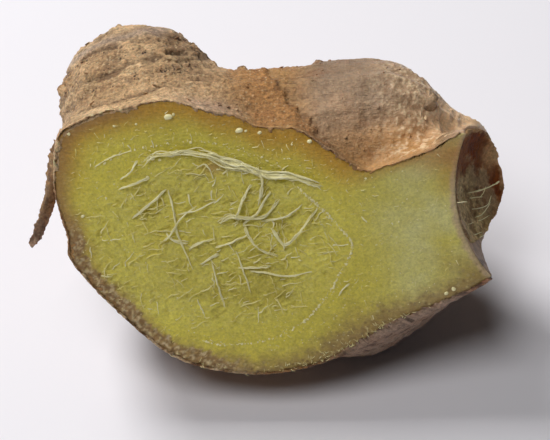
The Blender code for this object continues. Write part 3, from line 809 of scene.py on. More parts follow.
def flesh_slab():
    """An even grid trimmed to the edge of the flesh, raised in relief and given depth."""
    form = bmesh.new()
    bmesh.ops.create_grid(form, x_segments=FLESH_COLUMNS, y_segments=FLESH_ROWS, size=1)
    scale = Vector((FLESH_COLUMNS * FLESH_CELL / 2, FLESH_ROWS * FLESH_CELL / 2, 1))
    bmesh.ops.scale(form, vec=scale, verts=form.verts)
    bmesh.ops.translate(form, vec=FLESH_CENTRE, verts=form.verts)
    co = np.array([vert.co for vert in form.verts])
    reach = np.hypot(co[:, 0], co[:, 1])
    edge = flesh_radius(np.arctan2(co[:, 1], co[:, 0]))
    inside = reach <= edge
    outside = [vert for vert, keep in zip(form.verts, inside) if not keep]
    bmesh.ops.delete(form, geom=outside, context='VERTS')
    for vert in [vert for vert in form.verts if vert.is_boundary]:
        turn = math.atan2(vert.co.y, vert.co.x)
        wanted = float(flesh_radius(np.array([turn]))[0])
        vert.co *= wanted / math.hypot(vert.co.x, vert.co.y)
    co = np.array([vert.co for vert in form.verts])
    edge = flesh_radius(np.arctan2(co[:, 1], co[:, 0]))
    from_edge = edge - np.hypot(co[:, 0], co[:, 1])
    heights = flesh_height(co[:, 0], co[:, 1]) - 0.08 * (1 - smooth_step(from_edge / 0.9))
    heights += 0.3 * cortex_share(co[:, 0], co[:, 1], from_edge) * grain_noise(co, (1.2, 1.2, 1), 33.0, 3)
    for vert, height in zip(form.verts, heights):
        vert.co.z = height
    border = [edge for edge in form.edges if edge.is_boundary]
    walls = bmesh.ops.extrude_edge_only(form, edges=border)["geom"]
    wall_points = [item for item in walls if isinstance(item, bmesh.types.BMVert)]
    for vert in wall_points:
        vert.co.x *= 0.985
        vert.co.y *= 0.985
        vert.co.z = -SLAB_DEPTH
    back = [edge for edge in form.edges if edge.is_boundary]
    bmesh.ops.holes_fill(form, edges=back, sides=0)
    bmesh.ops.recalc_face_normals(form, faces=form.faces)
    mesh = bpy.data.meshes.new("cut_flesh")
    form.to_mesh(mesh)
    form.free()
    return mesh


END_BORDER = shade(216, 188, 150)
flesh_mesh = flesh_slab()
points = mesh_points(flesh_mesh)
x, y, z = points.T
edge = flesh_radius(np.arctan2(y, x))
from_edge = edge - np.hypot(x, y)
core = core_place(x, y)
flat = np.column_stack([x, y, np.zeros(len(x))])
cloud = grain_noise(flat, (0.10, 0.10, 1), 41.0, 3)
fleck = grain_noise(flat, (0.9, 0.9, 1), 47.0, 3)
YELLOW_GREEN = shade(230, 215, 86)
CORE_OLIVE = shade(236, 222, 100)
PALE_GREEN = shade(228, 222, 148)
TORN_PALE_AND_HIGHLIGHT = shade(244, 236, 156)
TORN_BROWN = shade(196, 150, 96)
ORANGE_GLOW = shade(206, 152, 46)
BROWN_RIM = shade(176, 132, 72)
BROWN_GLOW = shade(196, 142, 78)
BROWN_CORTEX = shade(172, 142, 88)
PALE_GRAIN = shade(226, 206, 160)
WARM_CORTEX = shade(176, 138, 92)
PIT_SHADE_GREEN = shade(188, 170, 62)
tone = np.tile(YELLOW_GREEN, (len(points), 1))
tone = blend_tone(tone, CORE_OLIVE, 1 - smooth_step((core - 0.8) / 0.25))
# Painted shade: the core is darkened to a deeper green where its torn surface sinks into pits.
pit_shade = (1 - smooth_step((core - 0.8) / 0.2)) * smooth_step((-z - 0.1) / 0.35)
tone = blend_tone(tone, PIT_SHADE_GREEN, 0.55 * pit_shade)
# Paler on the raised torn crests of the core: partly the pale torn fibres, partly a painted highlight.
torn_high = (1 - smooth_step((core - 0.84) / 0.16)) * smooth_step((z - 0.08 - 0.35 * 0.3) / 0.22)
tone = blend_tone(tone, TORN_PALE_AND_HIGHLIGHT, 0.6 * torn_high)
tone = blend_tone(tone, TORN_BROWN, 0.7 * bump_at(flat, (-10.6, 15.4, 0), (1.5, 1.0, 1)))
tone = blend_tone(tone, PALE_GREEN, smooth_step((x - 8 + 0.2 * y) / 14) * (0.75 + 0.8 * cloud))
top_edge = smooth_step((y - 10 + 3 * cloud) / 9) * (1 - smooth_step(from_edge / 6.5))
top_edge *= 1 - smooth_step((x - 9) / 5)
tone = blend_tone(tone, ORANGE_GLOW, 0.95 * top_edge)
left_edge = smooth_step((-x - 17) / 10) * (1 - smooth_step((from_edge + 1.5 * cloud) / 4.5))
tone = blend_tone(tone, BROWN_RIM, 0.9 * left_edge)
under_lobe = np.exp(-(((x - 17) / 7) ** 2)) * smooth_step((y - 9) / 5) * (1 - smooth_step(from_edge / 4.5))
tone = blend_tone(tone, ORANGE_GLOW * 0.95, 0.75 * under_lobe)
low_edge = smooth_step((3 - y) / 8) * (1 - smooth_step((from_edge + 1.2 * cloud + 0.9 * fleck) / 4.6))
tone = blend_tone(tone, BROWN_CORTEX, 0.9 * low_edge)
cortex = cortex_share(x, y, from_edge)
tone = blend_tone(tone, WARM_CORTEX, 0.8 * cortex)
grains = grain_noise(flat, (1.7, 1.7, 1), 49.0, 2)
tone = blend_tone(tone, PALE_GRAIN, 0.75 * cortex * smooth_step((grains - 0.10) / 0.14))
tone = blend_tone(tone, DARK_BROWN_AND_CREASE_SHADE, 0.28 * cortex * smooth_step((-grains - 0.12) / 0.14))
low_right = smooth_step((x - 2) / 8) * smooth_step((5 - y) / 7)
low_right *= 1 - smooth_step((from_edge + 1.6 * cloud + 1.4 * fleck) / 8.5)
tone = blend_tone(tone, BROWN_CORTEX, 0.75 * low_right)
from_break_edge = break_entry(np.arctan2(y, x)) - np.hypot(x, y) + 0.3 * fleck
tone = blend_tone(tone, END_BORDER, 0.9 * (1 - smooth_step((from_break_edge - 0.45) / 0.8)))
tone = blend_tone(tone, BROWN_GLOW, 0.85 * bump_at(flat, (21.5, 17.2, 0), (6.5, 2.7, 1)))
skin_side = (break_entry(np.arctan2(y, x)) > 900) * (0.8 - 0.55 * smooth_step((y - 4) / 8))
tone = blend_tone(tone, BROWN_RIM * 0.85, skin_side * (1 - smooth_step(from_edge / (0.5 + 0.3 * fleck))))
tone *= 1 + 0.10 * cloud[:, None] + 0.12 * fleck[:, None] * (0.4 + low_edge[:, None])
paint(flesh_mesh, "tone", np.clip(tone, 0.01, 0.95))
paint(flesh_mesh, "core", (1 - smooth_step((core - 0.86) / 0.12)) * (z > -0.9))
rim = np.maximum(1 - smooth_step(from_edge / 3.2), 0.7 * low_right) * smooth_step((4 - y) / 6)
paint(flesh_mesh, "rim", rim * (z > -0.9))

flesh_finish, tree, shader = new_finish("ginger_flesh", Subsurface_Weight=0.35, Subsurface_Scale=0.0022,
                                        Subsurface_Radius=(1.0, 0.85, 0.35), Specular_IOR_Level=0.5)
tone_in = add_node(tree, 'ShaderNodeAttribute', attribute_name="tone").outputs["Color"]
core_in = add_node(tree, 'ShaderNodeAttribute', attribute_name="core").outputs["Fac"]
place = add_node(tree, 'ShaderNodeTexCoord').outputs["Object"]
combed = add_node(tree, 'ShaderNodeMapping', {"Vector": place, "Rotation": (0, math.radians(30), 0),
                                              "Scale": (500, 900, 2400)})
threads = add_node(tree, 'ShaderNodeTexNoise', {"Vector": combed.outputs[0], "Scale": 1.0, "Detail": 4.0,
                                                "Roughness": 0.7})
pores = add_node(tree, 'ShaderNodeTexNoise', {"Vector": place, "Scale": 2700.0, "Detail": 3.0,
                                              "Roughness": 0.75})
pale = ramp(tree, threads.outputs[0], 0.56, 0.70, 0.0, 0.7)
pale = math_of(tree, 'MULTIPLY', pale, math_of(tree, 'MULTIPLY_ADD', core_in, 0.75, 0.25))
flesh_colour = mixed(tree, 'MIX', pale, tone_in, (*shade(236, 226, 146), 1))
rim_in = add_node(tree, 'ShaderNodeAttribute', attribute_name="rim").outputs["Fac"]
cells = add_node(tree, 'ShaderNodeTexVoronoi', {"Vector": place, "Scale": 1500.0, "Randomness": 1.0})
cell_pick = add_node(tree, 'ShaderNodeSeparateColor', {0: cells.outputs["Color"]})
cream = math_of(tree, 'MULTIPLY', ramp(tree, cells.outputs["Distance"], 0.2, 0.42, 1.0, 0.0),
                ramp(tree, cell_pick.outputs[0], 0.4, 0.8, 0.0, 0.8))
cream = math_of(tree, 'MULTIPLY', cream, math_of(tree, 'MULTIPLY_ADD', rim_in, 0.8, 0.2))
flesh_colour = mixed(tree, 'MIX', cream, flesh_colour, (*shade(232, 214, 150), 1))
brown = math_of(tree, 'MULTIPLY', ramp(tree, cells.outputs["Distance"], 0.15, 0.5, 1.0, 0.0),
                ramp(tree, cell_pick.outputs[1], 0.35, 0.7, 0.0, 0.85))
brown = math_of(tree, 'MULTIPLY', brown, rim_in)
flesh_colour = mixed(tree, 'MIX', brown, flesh_colour, (*shade(112, 80, 44), 1))
dark_pores = ramp(tree, pores.outputs[0], 0.3, 0.7, 0.82, 1.18)
flesh_colour = mixed(tree, 'MULTIPLY', 1.0, flesh_colour, add_node(tree, 'ShaderNodeCombineColor', {
    0: dark_pores, 1: dark_pores, 2: dark_pores}).outputs[0])
tree.links.new(flesh_colour, shader.inputs["Base Color"])
tree.links.new(ramp(tree, pores.outputs[0], 0.3, 0.7, 0.34, 0.6), shader.inputs["Roughness"])
bump = add_node(tree, 'ShaderNodeBump', {"Height": threads.outputs[0], "Distance": 0.00045, "Strength": 0.7})
bump = add_node(tree, 'ShaderNodeBump', {"Height": pores.outputs[0], "Distance": 0.00018, "Strength": 0.6,
                                         "Normal": bump.outputs[0]})
tree.links.new(bump.outputs[0], shader.inputs["Normal"])

flesh_base = flesh_mesh.copy()
clumps = smooth_step((grain_noise(flat, (0.28, 0.28, 1), 95.0, 2) + 0.32) / 0.5)
core_share = (1 - smooth_step((core - 0.8) / 0.16)) * (z > -0.9) * (0.12 + 0.88 * clumps)
flesh_base.attributes["core"].data.foreach_set("value", core_share.astype(np.float32))
fleck_base = flesh_mesh.copy()
upper_left = smooth_step((core - 0.9) / 0.1) * smooth_step((from_edge - 1.2) / 1.5) * (z > -0.9)
fleck_share = upper_left * (0.2 + 0.8 * smooth_step((18 - x) / 14) * smooth_step((y + 8) / 14))
fleck_base.attributes["core"].data.foreach_set("value", fleck_share.astype(np.float32))
flesh = show("cut_flesh", flesh_mesh)
flesh_mesh.materials.append(flesh_finish)
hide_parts("ginger_root")
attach(flesh, "root")

# The broken end: a hollow where another finger snapped off, dry and dark at its top and
# far wall, dull green-grey in the middle and pale along the edge of the cut. It is a patch
# of the same ball that hollows the skin, trimmed to the body, rough and with a torn rim.
END_COLUMNS = 300
END_ROWS = 90
END_THICKNESS = 0.5
pole = np.array((-25.6, -8.2, -10.9))
pole /= np.linalg.norm(pole)
side = np.cross(pole, (0, 0, 1))
side /= np.linalg.norm(side)
other = np.cross(pole, side)
spin = np.linspace(0, math.tau, END_COLUMNS, endpoint=False)
opening = np.radians(np.arange(1, 110, 0.5))
spins, openings = np.meshgrid(spin, opening, indexing='ij')


def ball_way(spins, openings):
    """Unit ways from the middle of the break's ball, round its deepest point."""
    round_about = np.cos(spins)[..., None] * side + np.sin(spins)[..., None] * other
    return np.cos(openings)[..., None] * pole + np.sin(openings)[..., None] * round_about


tried = BREAK_CENTRE + BREAK_RADIUS * ball_way(spins, openings)
outside = (body_gap(tried.reshape(-1, 3)).reshape(spins.shape) > -0.15) | (tried[..., 2] > -0.25)
reach = opening[np.argmax(outside, axis=1)]
torn = np.column_stack([np.cos(spin) * 9, np.sin(spin) * 9, np.zeros(len(spin))])
reach += np.radians(1.3) * grain_noise(torn, (0.3, 0.3, 1), 81.0, 2) - np.radians(0.6)
shares = np.linspace(0, 1, END_ROWS)
ways = ball_way(spin[:, None] * np.ones(END_ROWS), reach[:, None] * shares)
places = BREAK_CENTRE + BREAK_RADIUS * ways
flat = places.reshape(-1, 3)
rough = 0.7 * grain_noise(flat, (0.35, 0.35, 0.35), 83.0, 4)
rough += 0.3 * grain_noise(flat, (1.2, 1.2, 1.2), 87.0, 3)
rough = rough.reshape(END_COLUMNS, END_ROWS)
far_rim = smooth_step((shares - 0.90) / 0.10) * smooth_step((-places[..., 2] - 4) / 4)
raised = np.maximum(0.12, 0.34 + 0.34 * rough) + far_rim * (0.1 + 0.4 * np.abs(rough))
raised = raised * (1 - smooth_step((-places[..., 2] - 0.2) / -0.6))
front_side = BREAK_CENTRE + (BREAK_RADIUS - raised)[..., None] * ways
back_side = BREAK_CENTRE + (BREAK_RADIUS + END_THICKNESS) * ways
grid = np.concatenate([front_side, back_side[:, ::-1]], axis=1).reshape(-1, 3)
rows = END_ROWS * 2
faces = []
for column in range(END_COLUMNS):
    here, after = column * rows, (column + 1) % END_COLUMNS * rows
    for row in range(1, rows - 2):
        faces.append((here + row, here + row + 1, after + row + 1, after + row))
    faces.append((0, here + 1, after + 1))
    faces.append((rows - 1, after + rows - 2, here + rows - 2))
end_mesh = bpy.data.meshes.new("broken_end")
end_mesh.from_pydata(grid.tolist(), [], faces)
form = bmesh.new()
form.from_mesh(end_mesh)
bmesh.ops.delete(form, geom=[vert for vert in form.verts if not vert.link_faces], context='VERTS')
bmesh.ops.recalc_face_normals(form, faces=form.faces)
form.to_mesh(end_mesh)
form.free()
points = mesh_points(end_mesh)
x, y, z = points.T
END_DARK = shade(134, 66, 16)
END_GREEN_PAINTED_LIGHT = shade(222, 196, 140)
END_GREY_PAINTED_LIGHT = shade(176, 146, 108)
END_TAN = shade(204, 162, 114)
END_RIM = shade(206, 168, 122)
END_RED = shade(150, 92, 48)
depth = grain_noise(points, (0.35, 0.35, 0.35), 83.0, 4)
# The green middle and the grey below it are painted lighter than the wood is, as painted light for lamp
# light that does not reach into the hollow.
tone = np.tile(END_GREEN_PAINTED_LIGHT, (len(points), 1))
tone = blend_tone(tone, END_GREY_PAINTED_LIGHT, smooth_step((-z - 10) / 4))
tone = blend_tone(tone, END_DARK, smooth_step((y - 9.5 - 2.5 * depth) / 3.5))
tone = blend_tone(tone, END_DARK, smooth_step((-z - 14.6 - 1.5 * depth) / 1.2))
tone = blend_tone(tone, END_TAN, 0.95 * np.exp(-(((y - 10.8) / 2.2) ** 2 + ((z + 16.6) / 1.6) ** 2)))
tone = blend_tone(tone, END_TAN, 0.8 * smooth_step((y - 15.2) / 1.2))
tone = blend_tone(tone, END_RED, 0.8 * smooth_step((y - 9) / 3) * (1 - smooth_step((x - 24.6) / 1.6)))
tone = blend_tone(tone, END_BORDER, 0.85 * (1 - smooth_step((-z - 2.4 - depth) / 1.4)))
near_rim = smooth_step((body_gap(points) + 0.95 + 0.5 * depth) / 0.5) * smooth_step((y - 3) / 4)
tone = blend_tone(tone, END_RIM, 0.8 * near_rim * smooth_step((-z - 5) / 4))
# Painted shade: darker in the low spots of the rough surface.
tone = blend_tone(tone, END_DARK * 0.7, 0.5 * smooth_step((-depth - 0.15) / 0.3))
tone *= (1 + 0.3 * grain_noise(points, (1.6, 1.6, 1.6), 91.0, 3))[:, None]
paint_skin(end_mesh, tone)
end_finish = skin_finish.copy()
end_finish.name = "ginger_break"
end_finish.node_tree.nodes["Principled BSDF"].inputs["Specular IOR Level"].default_value = 0.12
end_mesh.materials[0] = end_finish
end = show("broken_end", end_mesh)
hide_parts("ginger_root")
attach(end, "root")

# Torn fibres in the core: short pale threads left standing where the knife dragged them,
# most of them combed up to the right and fewer down to the right. They are grown on the
# core of the flesh, each from one bent tapering thread.
fibre_finish, tree, shader = new_finish("ginger_fibre", Subsurface_Weight=0.0, Roughness=0.4)
place = add_node(tree, 'ShaderNodeTexCoord').outputs["Object"]
uneven = add_node(tree, 'ShaderNodeTexNoise', {"Vector": place, "Scale": 900.0, "Detail": 3.0})
pale_in = add_node(tree, 'ShaderNodeAttribute', attribute_name="pale").outputs["Fac"]
fibre_share = math_of(tree, 'MULTIPLY', pale_in, ramp(tree, uneven.outputs[0], 0.35, 0.6, 0.55, 1.0))
fibre_colour = mixed(tree, 'MIX', fibre_share, (*shade(242, 230, 140), 1), (*shade(255, 252, 214), 1))
tree.links.new(fibre_colour, shader.inputs["Base Color"])

tree, given, last = new_growth("torn_fibres", Spacing=0.6, Thickness=0.11, Length=2.2, Seed=5,
                               Fibre=fibre_finish)
scatter = add_node(tree, 'GeometryNodeDistributePointsOnFaces', distribute_method='POISSON')
scatter.inputs["Density Max"].default_value = 1.15
tree.links.new(given["Geometry"], scatter.inputs["Mesh"])
tree.links.new(given["Spacing"], scatter.inputs["Distance Min"])
tree.links.new(given["Seed"], scatter.inputs["Seed"])
core_share = add_node(tree, 'GeometryNodeInputNamedAttribute', {"Name": "core"}).outputs[0]
tree.links.new(core_share, scatter.inputs["Density Factor"])
bow = add_node(tree, 'GeometryNodeCurveQuadraticBezier', {
    "Resolution": 7, "Start": (-0.5, 0, -0.08), "Middle": (-0.05, 0.1, 0.34), "End": (0.5, -0.05, 0.06)})
ring = add_node(tree, 'GeometryNodeCurvePrimitiveCircle', {"Resolution": 5, "Radius": 1.0})
way_along = add_node(tree, 'GeometryNodeSplineParameter').outputs["Factor"]
slim = ramp(tree, way_along, 0.0, 1.0, 0.085, 0.03)
thread = add_node(tree, 'GeometryNodeCurveToMesh', {
    "Curve": bow.outputs[0], "Profile Curve": ring.outputs[0], "Scale": slim, "Fill Caps": True})
seed = given["Seed"]
chance = random_between(tree, 0.0, 1.0, seed, 1)
up_right = random_between(tree, math.radians(2), math.radians(58), seed, 2)
down_right = random_between(tree, math.radians(-85), math.radians(-45), seed, 3)
is_down = math_of(tree, 'GREATER_THAN', chance, 0.72)
heading = add_node(tree, 'ShaderNodeMix', {0: is_down, 2: up_right, 3: down_right}).outputs[0]
lift = random_between(tree, -0.5, 0.12, seed, 4)
turned = add_node(tree, 'ShaderNodeCombineXYZ', {0: random_between(tree, -0.5, 0.5, seed, 5),
                                                 1: lift, 2: heading})
turning = add_node(tree, 'FunctionNodeEulerToRotation', {0: turned.outputs[0]}).outputs[0]
size = math_of(tree, 'MULTIPLY', random_between(tree, 0.35, 1.5, seed, 6), given["Length"])
girth = math_of(tree, 'MULTIPLY', random_between(tree, 0.7, 1.3, seed, 7),
                math_of(tree, 'MULTIPLY', given["Thickness"], 11.0))
shape = add_node(tree, 'ShaderNodeCombineXYZ', {0: size, 1: girth, 2: girth})
placed = add_node(tree, 'GeometryNodeInstanceOnPoints', {
    "Points": scatter.outputs[0], "Instance": thread.outputs[0], "Rotation": turning,
    "Scale": shape.outputs[0]})
pale = math_of(tree, 'POWER', random_between(tree, 0.0, 1.0, seed, 8), 1.8)
toned = add_node(tree, 'GeometryNodeStoreNamedAttribute', {"Geometry": placed.outputs[0], "Name": "pale",
                                                           "Value": pale}, domain='INSTANCE')
real = add_node(tree, 'GeometryNodeRealizeInstances', {"Geometry": toned.outputs[0]})
bent = wandering(tree, real.outputs[0], 1.5, 0.6)
end_growth(tree, last, bent, given["Fibre"])
torn = grow("torn_fibres", flesh_base, tree, Spacing=0.6, Seed=5)
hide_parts("ginger_root")
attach(torn, "root")

# Flecks on the outer flesh: the same threads, cut shorter and thinner, that the knife left
# between the core and the skin. They are grown thinly, most of them at the upper left.
flecks = grow("flesh_flecks", fleck_base, tree, Spacing=0.75, Thickness=0.07, Length=0.75, Seed=11)
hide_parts("ginger_root")
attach(flecks, "root")

# Long strands pulled out of the core by the knife and lying on it: one broad bundle from
# the upper left to a blunt end at the right, and lighter ones that branch down from it.
# Each path is split into filaments that part and meet, with their own thickness.
STRANDS = [   # filaments, spread, thickness at start and end, height over the flesh, points
    (9, 1.5, 0.16, 0.24, 0.45, [(-12.4, 17.7), (-10.3, 17.3), (-8.3, 16.5), (-6.2, 15.7), (-4.6, 15.1),
                                (-2.6, 14.6), (0.2, 14.2), (4.1, 12.7)]),
    (7, 1.6, 0.10, 0.14, 0.35, [(-20.0, 16.0), (-18.4, 17.4), (-15.5, 17.6), (-12.4, 17.7), (-9.0, 16.1),
                                (-6.9, 15.4), (-3.9, 14.4)]),
    (3, 0.6, 0.16, 0.13, 0.8, [(-4.6, 15.6), (-3.9, 14.0), (-3.9, 12.8), (-4.3, 10.0)]),
    (3, 0.5, 0.15, 0.14, 0.6, [(-2.7, 11.8), (-3.8, 10.3), (-4.7, 8.7), (-6.5, 6.9)]),
    (2, 0.4, 0.12, 0.16, 0.7, [(-5.4, 13.0), (-6.5, 10.9), (-7.2, 9.0), (-7.6, 7.9)]),
    (5, 1.0, 0.15, 0.10, 0.4, [(-9.8, 7.2), (-8.6, 8.2), (-6.4, 8.0), (-3.6, 8.4), (-1.4, 10.6)]),
    (3, 0.5, 0.15, 0.12, 0.9, [(-2.4, 5.8), (-0.9, 4.2), (0.9, 5.6), (2.2, 7.4), (3.8, 9.4)]),
    (2, 0.3, 0.15, 0.12, 0.8, [(-2.6, 6.3), (-1.9, 5.4), (-0.9, 4.2), (-0.8, 3.2)]),
    (2, 0.5, 0.12, 0.10, 0.6, [(-6.4, 7.0), (-5.6, 4.9), (-4.1, 3.1), (-1.7, 2.1)]),
    (2, 0.4, 0.13, 0.12, 0.6, [(1.6, 9.9), (0.4, 9.0), (-1.0, 8.1), (-4.0, 7.5)]),
    (2, 0.3, 0.12, 0.13, 0.6, [(-5.6, -0.3), (-2.7, -0.5), (-0.7, -0.8), (3.1, -0.2)]),
    (2, 0.3, 0.12, 0.10, 0.5, [(-7.2, 0.3), (-4.6, 0.4), (-2.7, 0.5)]),
    (2, 0.4, 0.13, 0.10, 0.4, [(-16.8, 12.1), (-16.2, 9.2), (-15.4, 5.0), (-13.6, 0.2)]),
    (2, 0.3, 0.11, 0.08, 0.3, [(-10.9, 1.2), (-10.2, -2.0), (-9.2, -5.9)]),
    (2, 0.3, 0.10, 0.08, 0.3, [(-7.5, 2.8), (-6.4, -0.6), (-5.6, -3.5)]),
    (2, 0.3, 0.12, 0.08, 0.7, [(-21.0, 16.5), (-22.0, 15.0), (-23.4, 13.7)]),
    (3, 0.4, 0.12, 0.12, 0.5, [(-19.4, 13.9), (-21.6, 13.2), (-23.6, 12.2)]),
    (3, 0.4, 0.12, 0.12, 0.6, [(-17.1, 12.2), (-19.4, 10.2), (-21.9, 7.8)]),
    (2, 0.3, 0.12, 0.12, 0.6, [(-10.5, 10.3), (-12.8, 9.3), (-15.6, 8.5)]),
    (2, 0.3, 0.12, 0.10, 0.7, [(-13.0, 9.6), (-15.2, 8.0), (-16.6, 5.6), (-18.2, 4.0)]),
    (4, 0.7, 0.13, 0.10, 0.3, [(-17.2, 5.6), (-16.0, 4.6), (-14.2, 4.4)]),
    (3, 0.5, 0.12, 0.12, 0.4, [(-9.9, 2.4), (-11.2, 1.9), (-12.4, 1.0)]),
    (3, 0.5, 0.11, 0.12, 0.4, [(-6.0, 5.3), (-8.0, 4.4), (-10.4, 3.5)]),
    (2, 0.4, 0.11, 0.11, 0.4, [(-10.6, 4.8), (-12.4, 4.4), (-14.1, 3.4)]),
    (2, 0.3, 0.11, 0.09, 0.5, [(-12.9, 15.3), (-11.8, 16.0), (-10.9, 15.0), (-10.7, 13.9)]),
    (1, 0.1, 0.14, 0.10, 0.2, [(9.9, 8.2), (10.7, 7.3)]),
    (1, 0.1, 0.13, 0.12, 0.2, [(6.9, -4.0), (7.3, -2.9), (8.3, -2.0)]),
    (1, 0.1, 0.10, 0.08, 0.15, [(-26.8, 15.6), (-24.6, 17.0), (-21.9, 17.9)]),
]
THREAD_GIRTH = 0.66
MORE_FILAMENTS = 2
MORE_SPREAD = 1.9


def smooth_path(points, steps=5):
    """A smooth open path through the given points."""
    points = np.array(points, float)
    corners = np.vstack([2 * points[0] - points[1], points, 2 * points[-1] - points[-2]])
    path = []
    for index in range(1, len(corners) - 2):
        p0, p1, p2, p3 = corners[index - 1:index + 3]
        for part in range(steps):
            t = part / steps
            path.append(0.5 * (2 * p1 + (p2 - p0) * t + (2 * p0 - 5 * p1 + 4 * p2 - p3) * t * t
                               + (3 * p1 - p0 - 3 * p2 + p3) * t ** 3))
    return np.array(path + [points[-1]])


def path_mesh(paths, thicknesses):
    """Chains of edges along the paths, with the thickness at each point."""
    points, edges, thick = [], [], []
    for path, (start, end) in zip(paths, thicknesses):
        first = len(points)
        points.extend(path.tolist())
        edges.extend((first + step, first + step + 1) for step in range(len(path) - 1))
        share = np.linspace(0, 1, len(path))
        tips = np.minimum(1, 0.35 + 6 * np.minimum(share, 1 - share))
        thick.extend(THREAD_GIRTH * (start + (end - start) * share) * tips)
    mesh = bpy.data.meshes.new("paths")
    mesh.from_pydata(points, edges, [])
    paint(mesh, "thick", thick)
    return mesh


strand_tree, given, last = new_growth("strands", Filaments=2, Spread=0.5, Wander=0.3, Paleness=0.8,
                                      Fibre=fibre_finish)
lines = add_node(strand_tree, 'GeometryNodeMeshToCurve', {"Mesh": given["Geometry"]})
copies = add_node(strand_tree, 'GeometryNodeDuplicateElements', {
    "Geometry": lines.outputs[0], "Amount": given["Filaments"]}, domain='SPLINE')
apart = math_of(strand_tree, 'MULTIPLY', copies.outputs[1], 3.7)
parted = wandering(strand_tree, copies.outputs[0], given["Spread"], 0.22, apart)
curled = wandering(strand_tree, parted, given["Wander"], 0.9, apart)
thick = add_node(strand_tree, 'GeometryNodeInputNamedAttribute', {"Name": "thick"}).outputs[0]
uneven = add_node(strand_tree, 'ShaderNodeTexNoise', {"W": apart, "Scale": 0.8}, noise_dimensions='4D')
thick = math_of(strand_tree, 'MULTIPLY', thick, ramp(strand_tree, uneven.outputs[0], 0.3, 0.7, 0.6, 1.3))
ring = add_node(strand_tree, 'GeometryNodeCurvePrimitiveCircle', {"Resolution": 6, "Radius": 1.0})
tubes = add_node(strand_tree, 'GeometryNodeCurveToMesh', {"Curve": curled, "Profile Curve": ring.outputs[0],
                                                          "Scale": thick, "Fill Caps": True})
pale = add_node(strand_tree, 'GeometryNodeStoreNamedAttribute', {
    "Geometry": tubes.outputs[0], "Name": "pale", "Value": given["Paleness"]})
end_growth(strand_tree, last, pale.outputs[0], given["Fibre"])

strand_groups = {}
for filaments, spread, start, end, height, corners in STRANDS:
    path = smooth_path(corners)
    share = np.linspace(0, 1, len(path))
    lift = flesh_height(path[:, 0], path[:, 1]) + height * np.sin(math.pi * np.clip(share, 0.04, 0.96))
    paths = strand_groups.setdefault((filaments, spread), ([], []))
    paths[0].append(np.column_stack([path, lift + 0.05]))
    paths[1].append((start, end))
for number, ((filaments, spread), (paths, thicknesses)) in enumerate(strand_groups.items()):
    strands = grow(f"long_strands_{number + 1}", path_mesh(paths, thicknesses), strand_tree,
                   Filaments=filaments + MORE_FILAMENTS, Spread=spread * MORE_SPREAD, Wander=0.5)
    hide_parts("ginger_root")
    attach(strands, "root")

# Fibres at the broken end: pale threads drawn out of the dull green wood when the finger
# snapped off, standing across the hollow. The thickest ends in a small round tip.
END_FIBRES = [   # thickness at start and end, points from root to tip
    (0.20, 0.15, [(24.9, 7.4, -10.3), (26.6, 7.2, -11.4), (28.6, 7.2, -13.0), (30.1, 7.2, -14.6)]),
    (0.23, 0.20, [(29.9, 7.2, -14.3), (30.2, 7.3, -14.7), (30.4, 7.35, -14.9)]),
    (0.15, 0.10, [(25.0, 6.7, -10.1), (26.4, 6.5, -10.9), (27.9, 6.1, -12.1)]),
    (0.10, 0.07, [(27.4, 6.2, -11.7), (27.9, 6.8, -12.0), (28.3, 7.6, -12.6)]),
    (0.15, 0.10, [(25.6, 5.0, -9.9), (27.2, 4.9, -10.7), (28.6, 5.0, -12.0), (29.1, 6.0, -12.8)]),
    (0.12, 0.08, [(26.4, 3.9, -9.4), (27.8, 4.1, -10.7), (29.0, 5.2, -12.3)]),
    (0.15, 0.09, [(26.2, 3.4, -9.3), (27.5, 3.4, -9.9), (28.8, 3.7, -11.0)]),
    (0.10, 0.07, [(24.9, 4.3, -6.3), (25.6, 4.1, -6.8), (26.2, 4.0, -7.7)]),
    (0.13, 0.08, [(25.6, 2.7, -5.9), (26.6, 2.5, -6.8), (27.5, 2.4, -7.9)]),
    (0.13, 0.08, [(26.1, 2.0, -6.1), (27.1, 1.9, -7.1), (28.0, 1.9, -8.2)]),
    (0.12, 0.05, [(23.0, 10.2, 0.1), (23.7, 10.5, 0.5), (24.4, 10.6, 0.7)]),
]
paths = [smooth_path(corners, 8) for _, _, corners in END_FIBRES]
end_fibres = grow("end_fibres", path_mesh(paths, [entry[:2] for entry in END_FIBRES]), strand_tree,
                  Filaments=1, Spread=0.0, Wander=0.25)
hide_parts("ginger_root")
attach(end_fibres, "root")

# Whiskers along the lower edge of the flesh: the cut ends of fine fibres, pale gold, that
# stand up beside the skin. They are short strands set at random along the edge.
WHISKERS = 110
dice = random.Random(17)
paths, thicknesses = [], []
for _ in range(WHISKERS):
    turn = dice.triangular(math.radians(206), math.radians(352), math.radians(330))
    radius = float(flesh_radius(np.array([turn]))[0]) - dice.uniform(-0.3, 0.9)
    root = np.array([math.cos(turn) * radius, math.sin(turn) * radius])
    heading = turn + math.pi + dice.gauss(-0.5, 0.7)
    length = dice.uniform(0.35, 1.1)
    tip = root + length * np.array([math.cos(heading), math.sin(heading)])
    middle = (root + tip) / 2 + dice.uniform(-0.12, 0.12)
    lifts = (-0.35, dice.uniform(0.05, 0.3), dice.uniform(0.0, 0.35))
    paths.append(smooth_path([(*root, lifts[0]), (*middle, lifts[1]), (*tip, lifts[2])], 3))
    thicknesses.append((dice.uniform(0.05, 0.10), 0.04))
whiskers = grow("edge_whiskers", path_mesh(paths, thicknesses), strand_tree,
                Filaments=1, Spread=0.0, Wander=0.3, Paleness=0.6)
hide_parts("ginger_root")
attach(whiskers, "root")

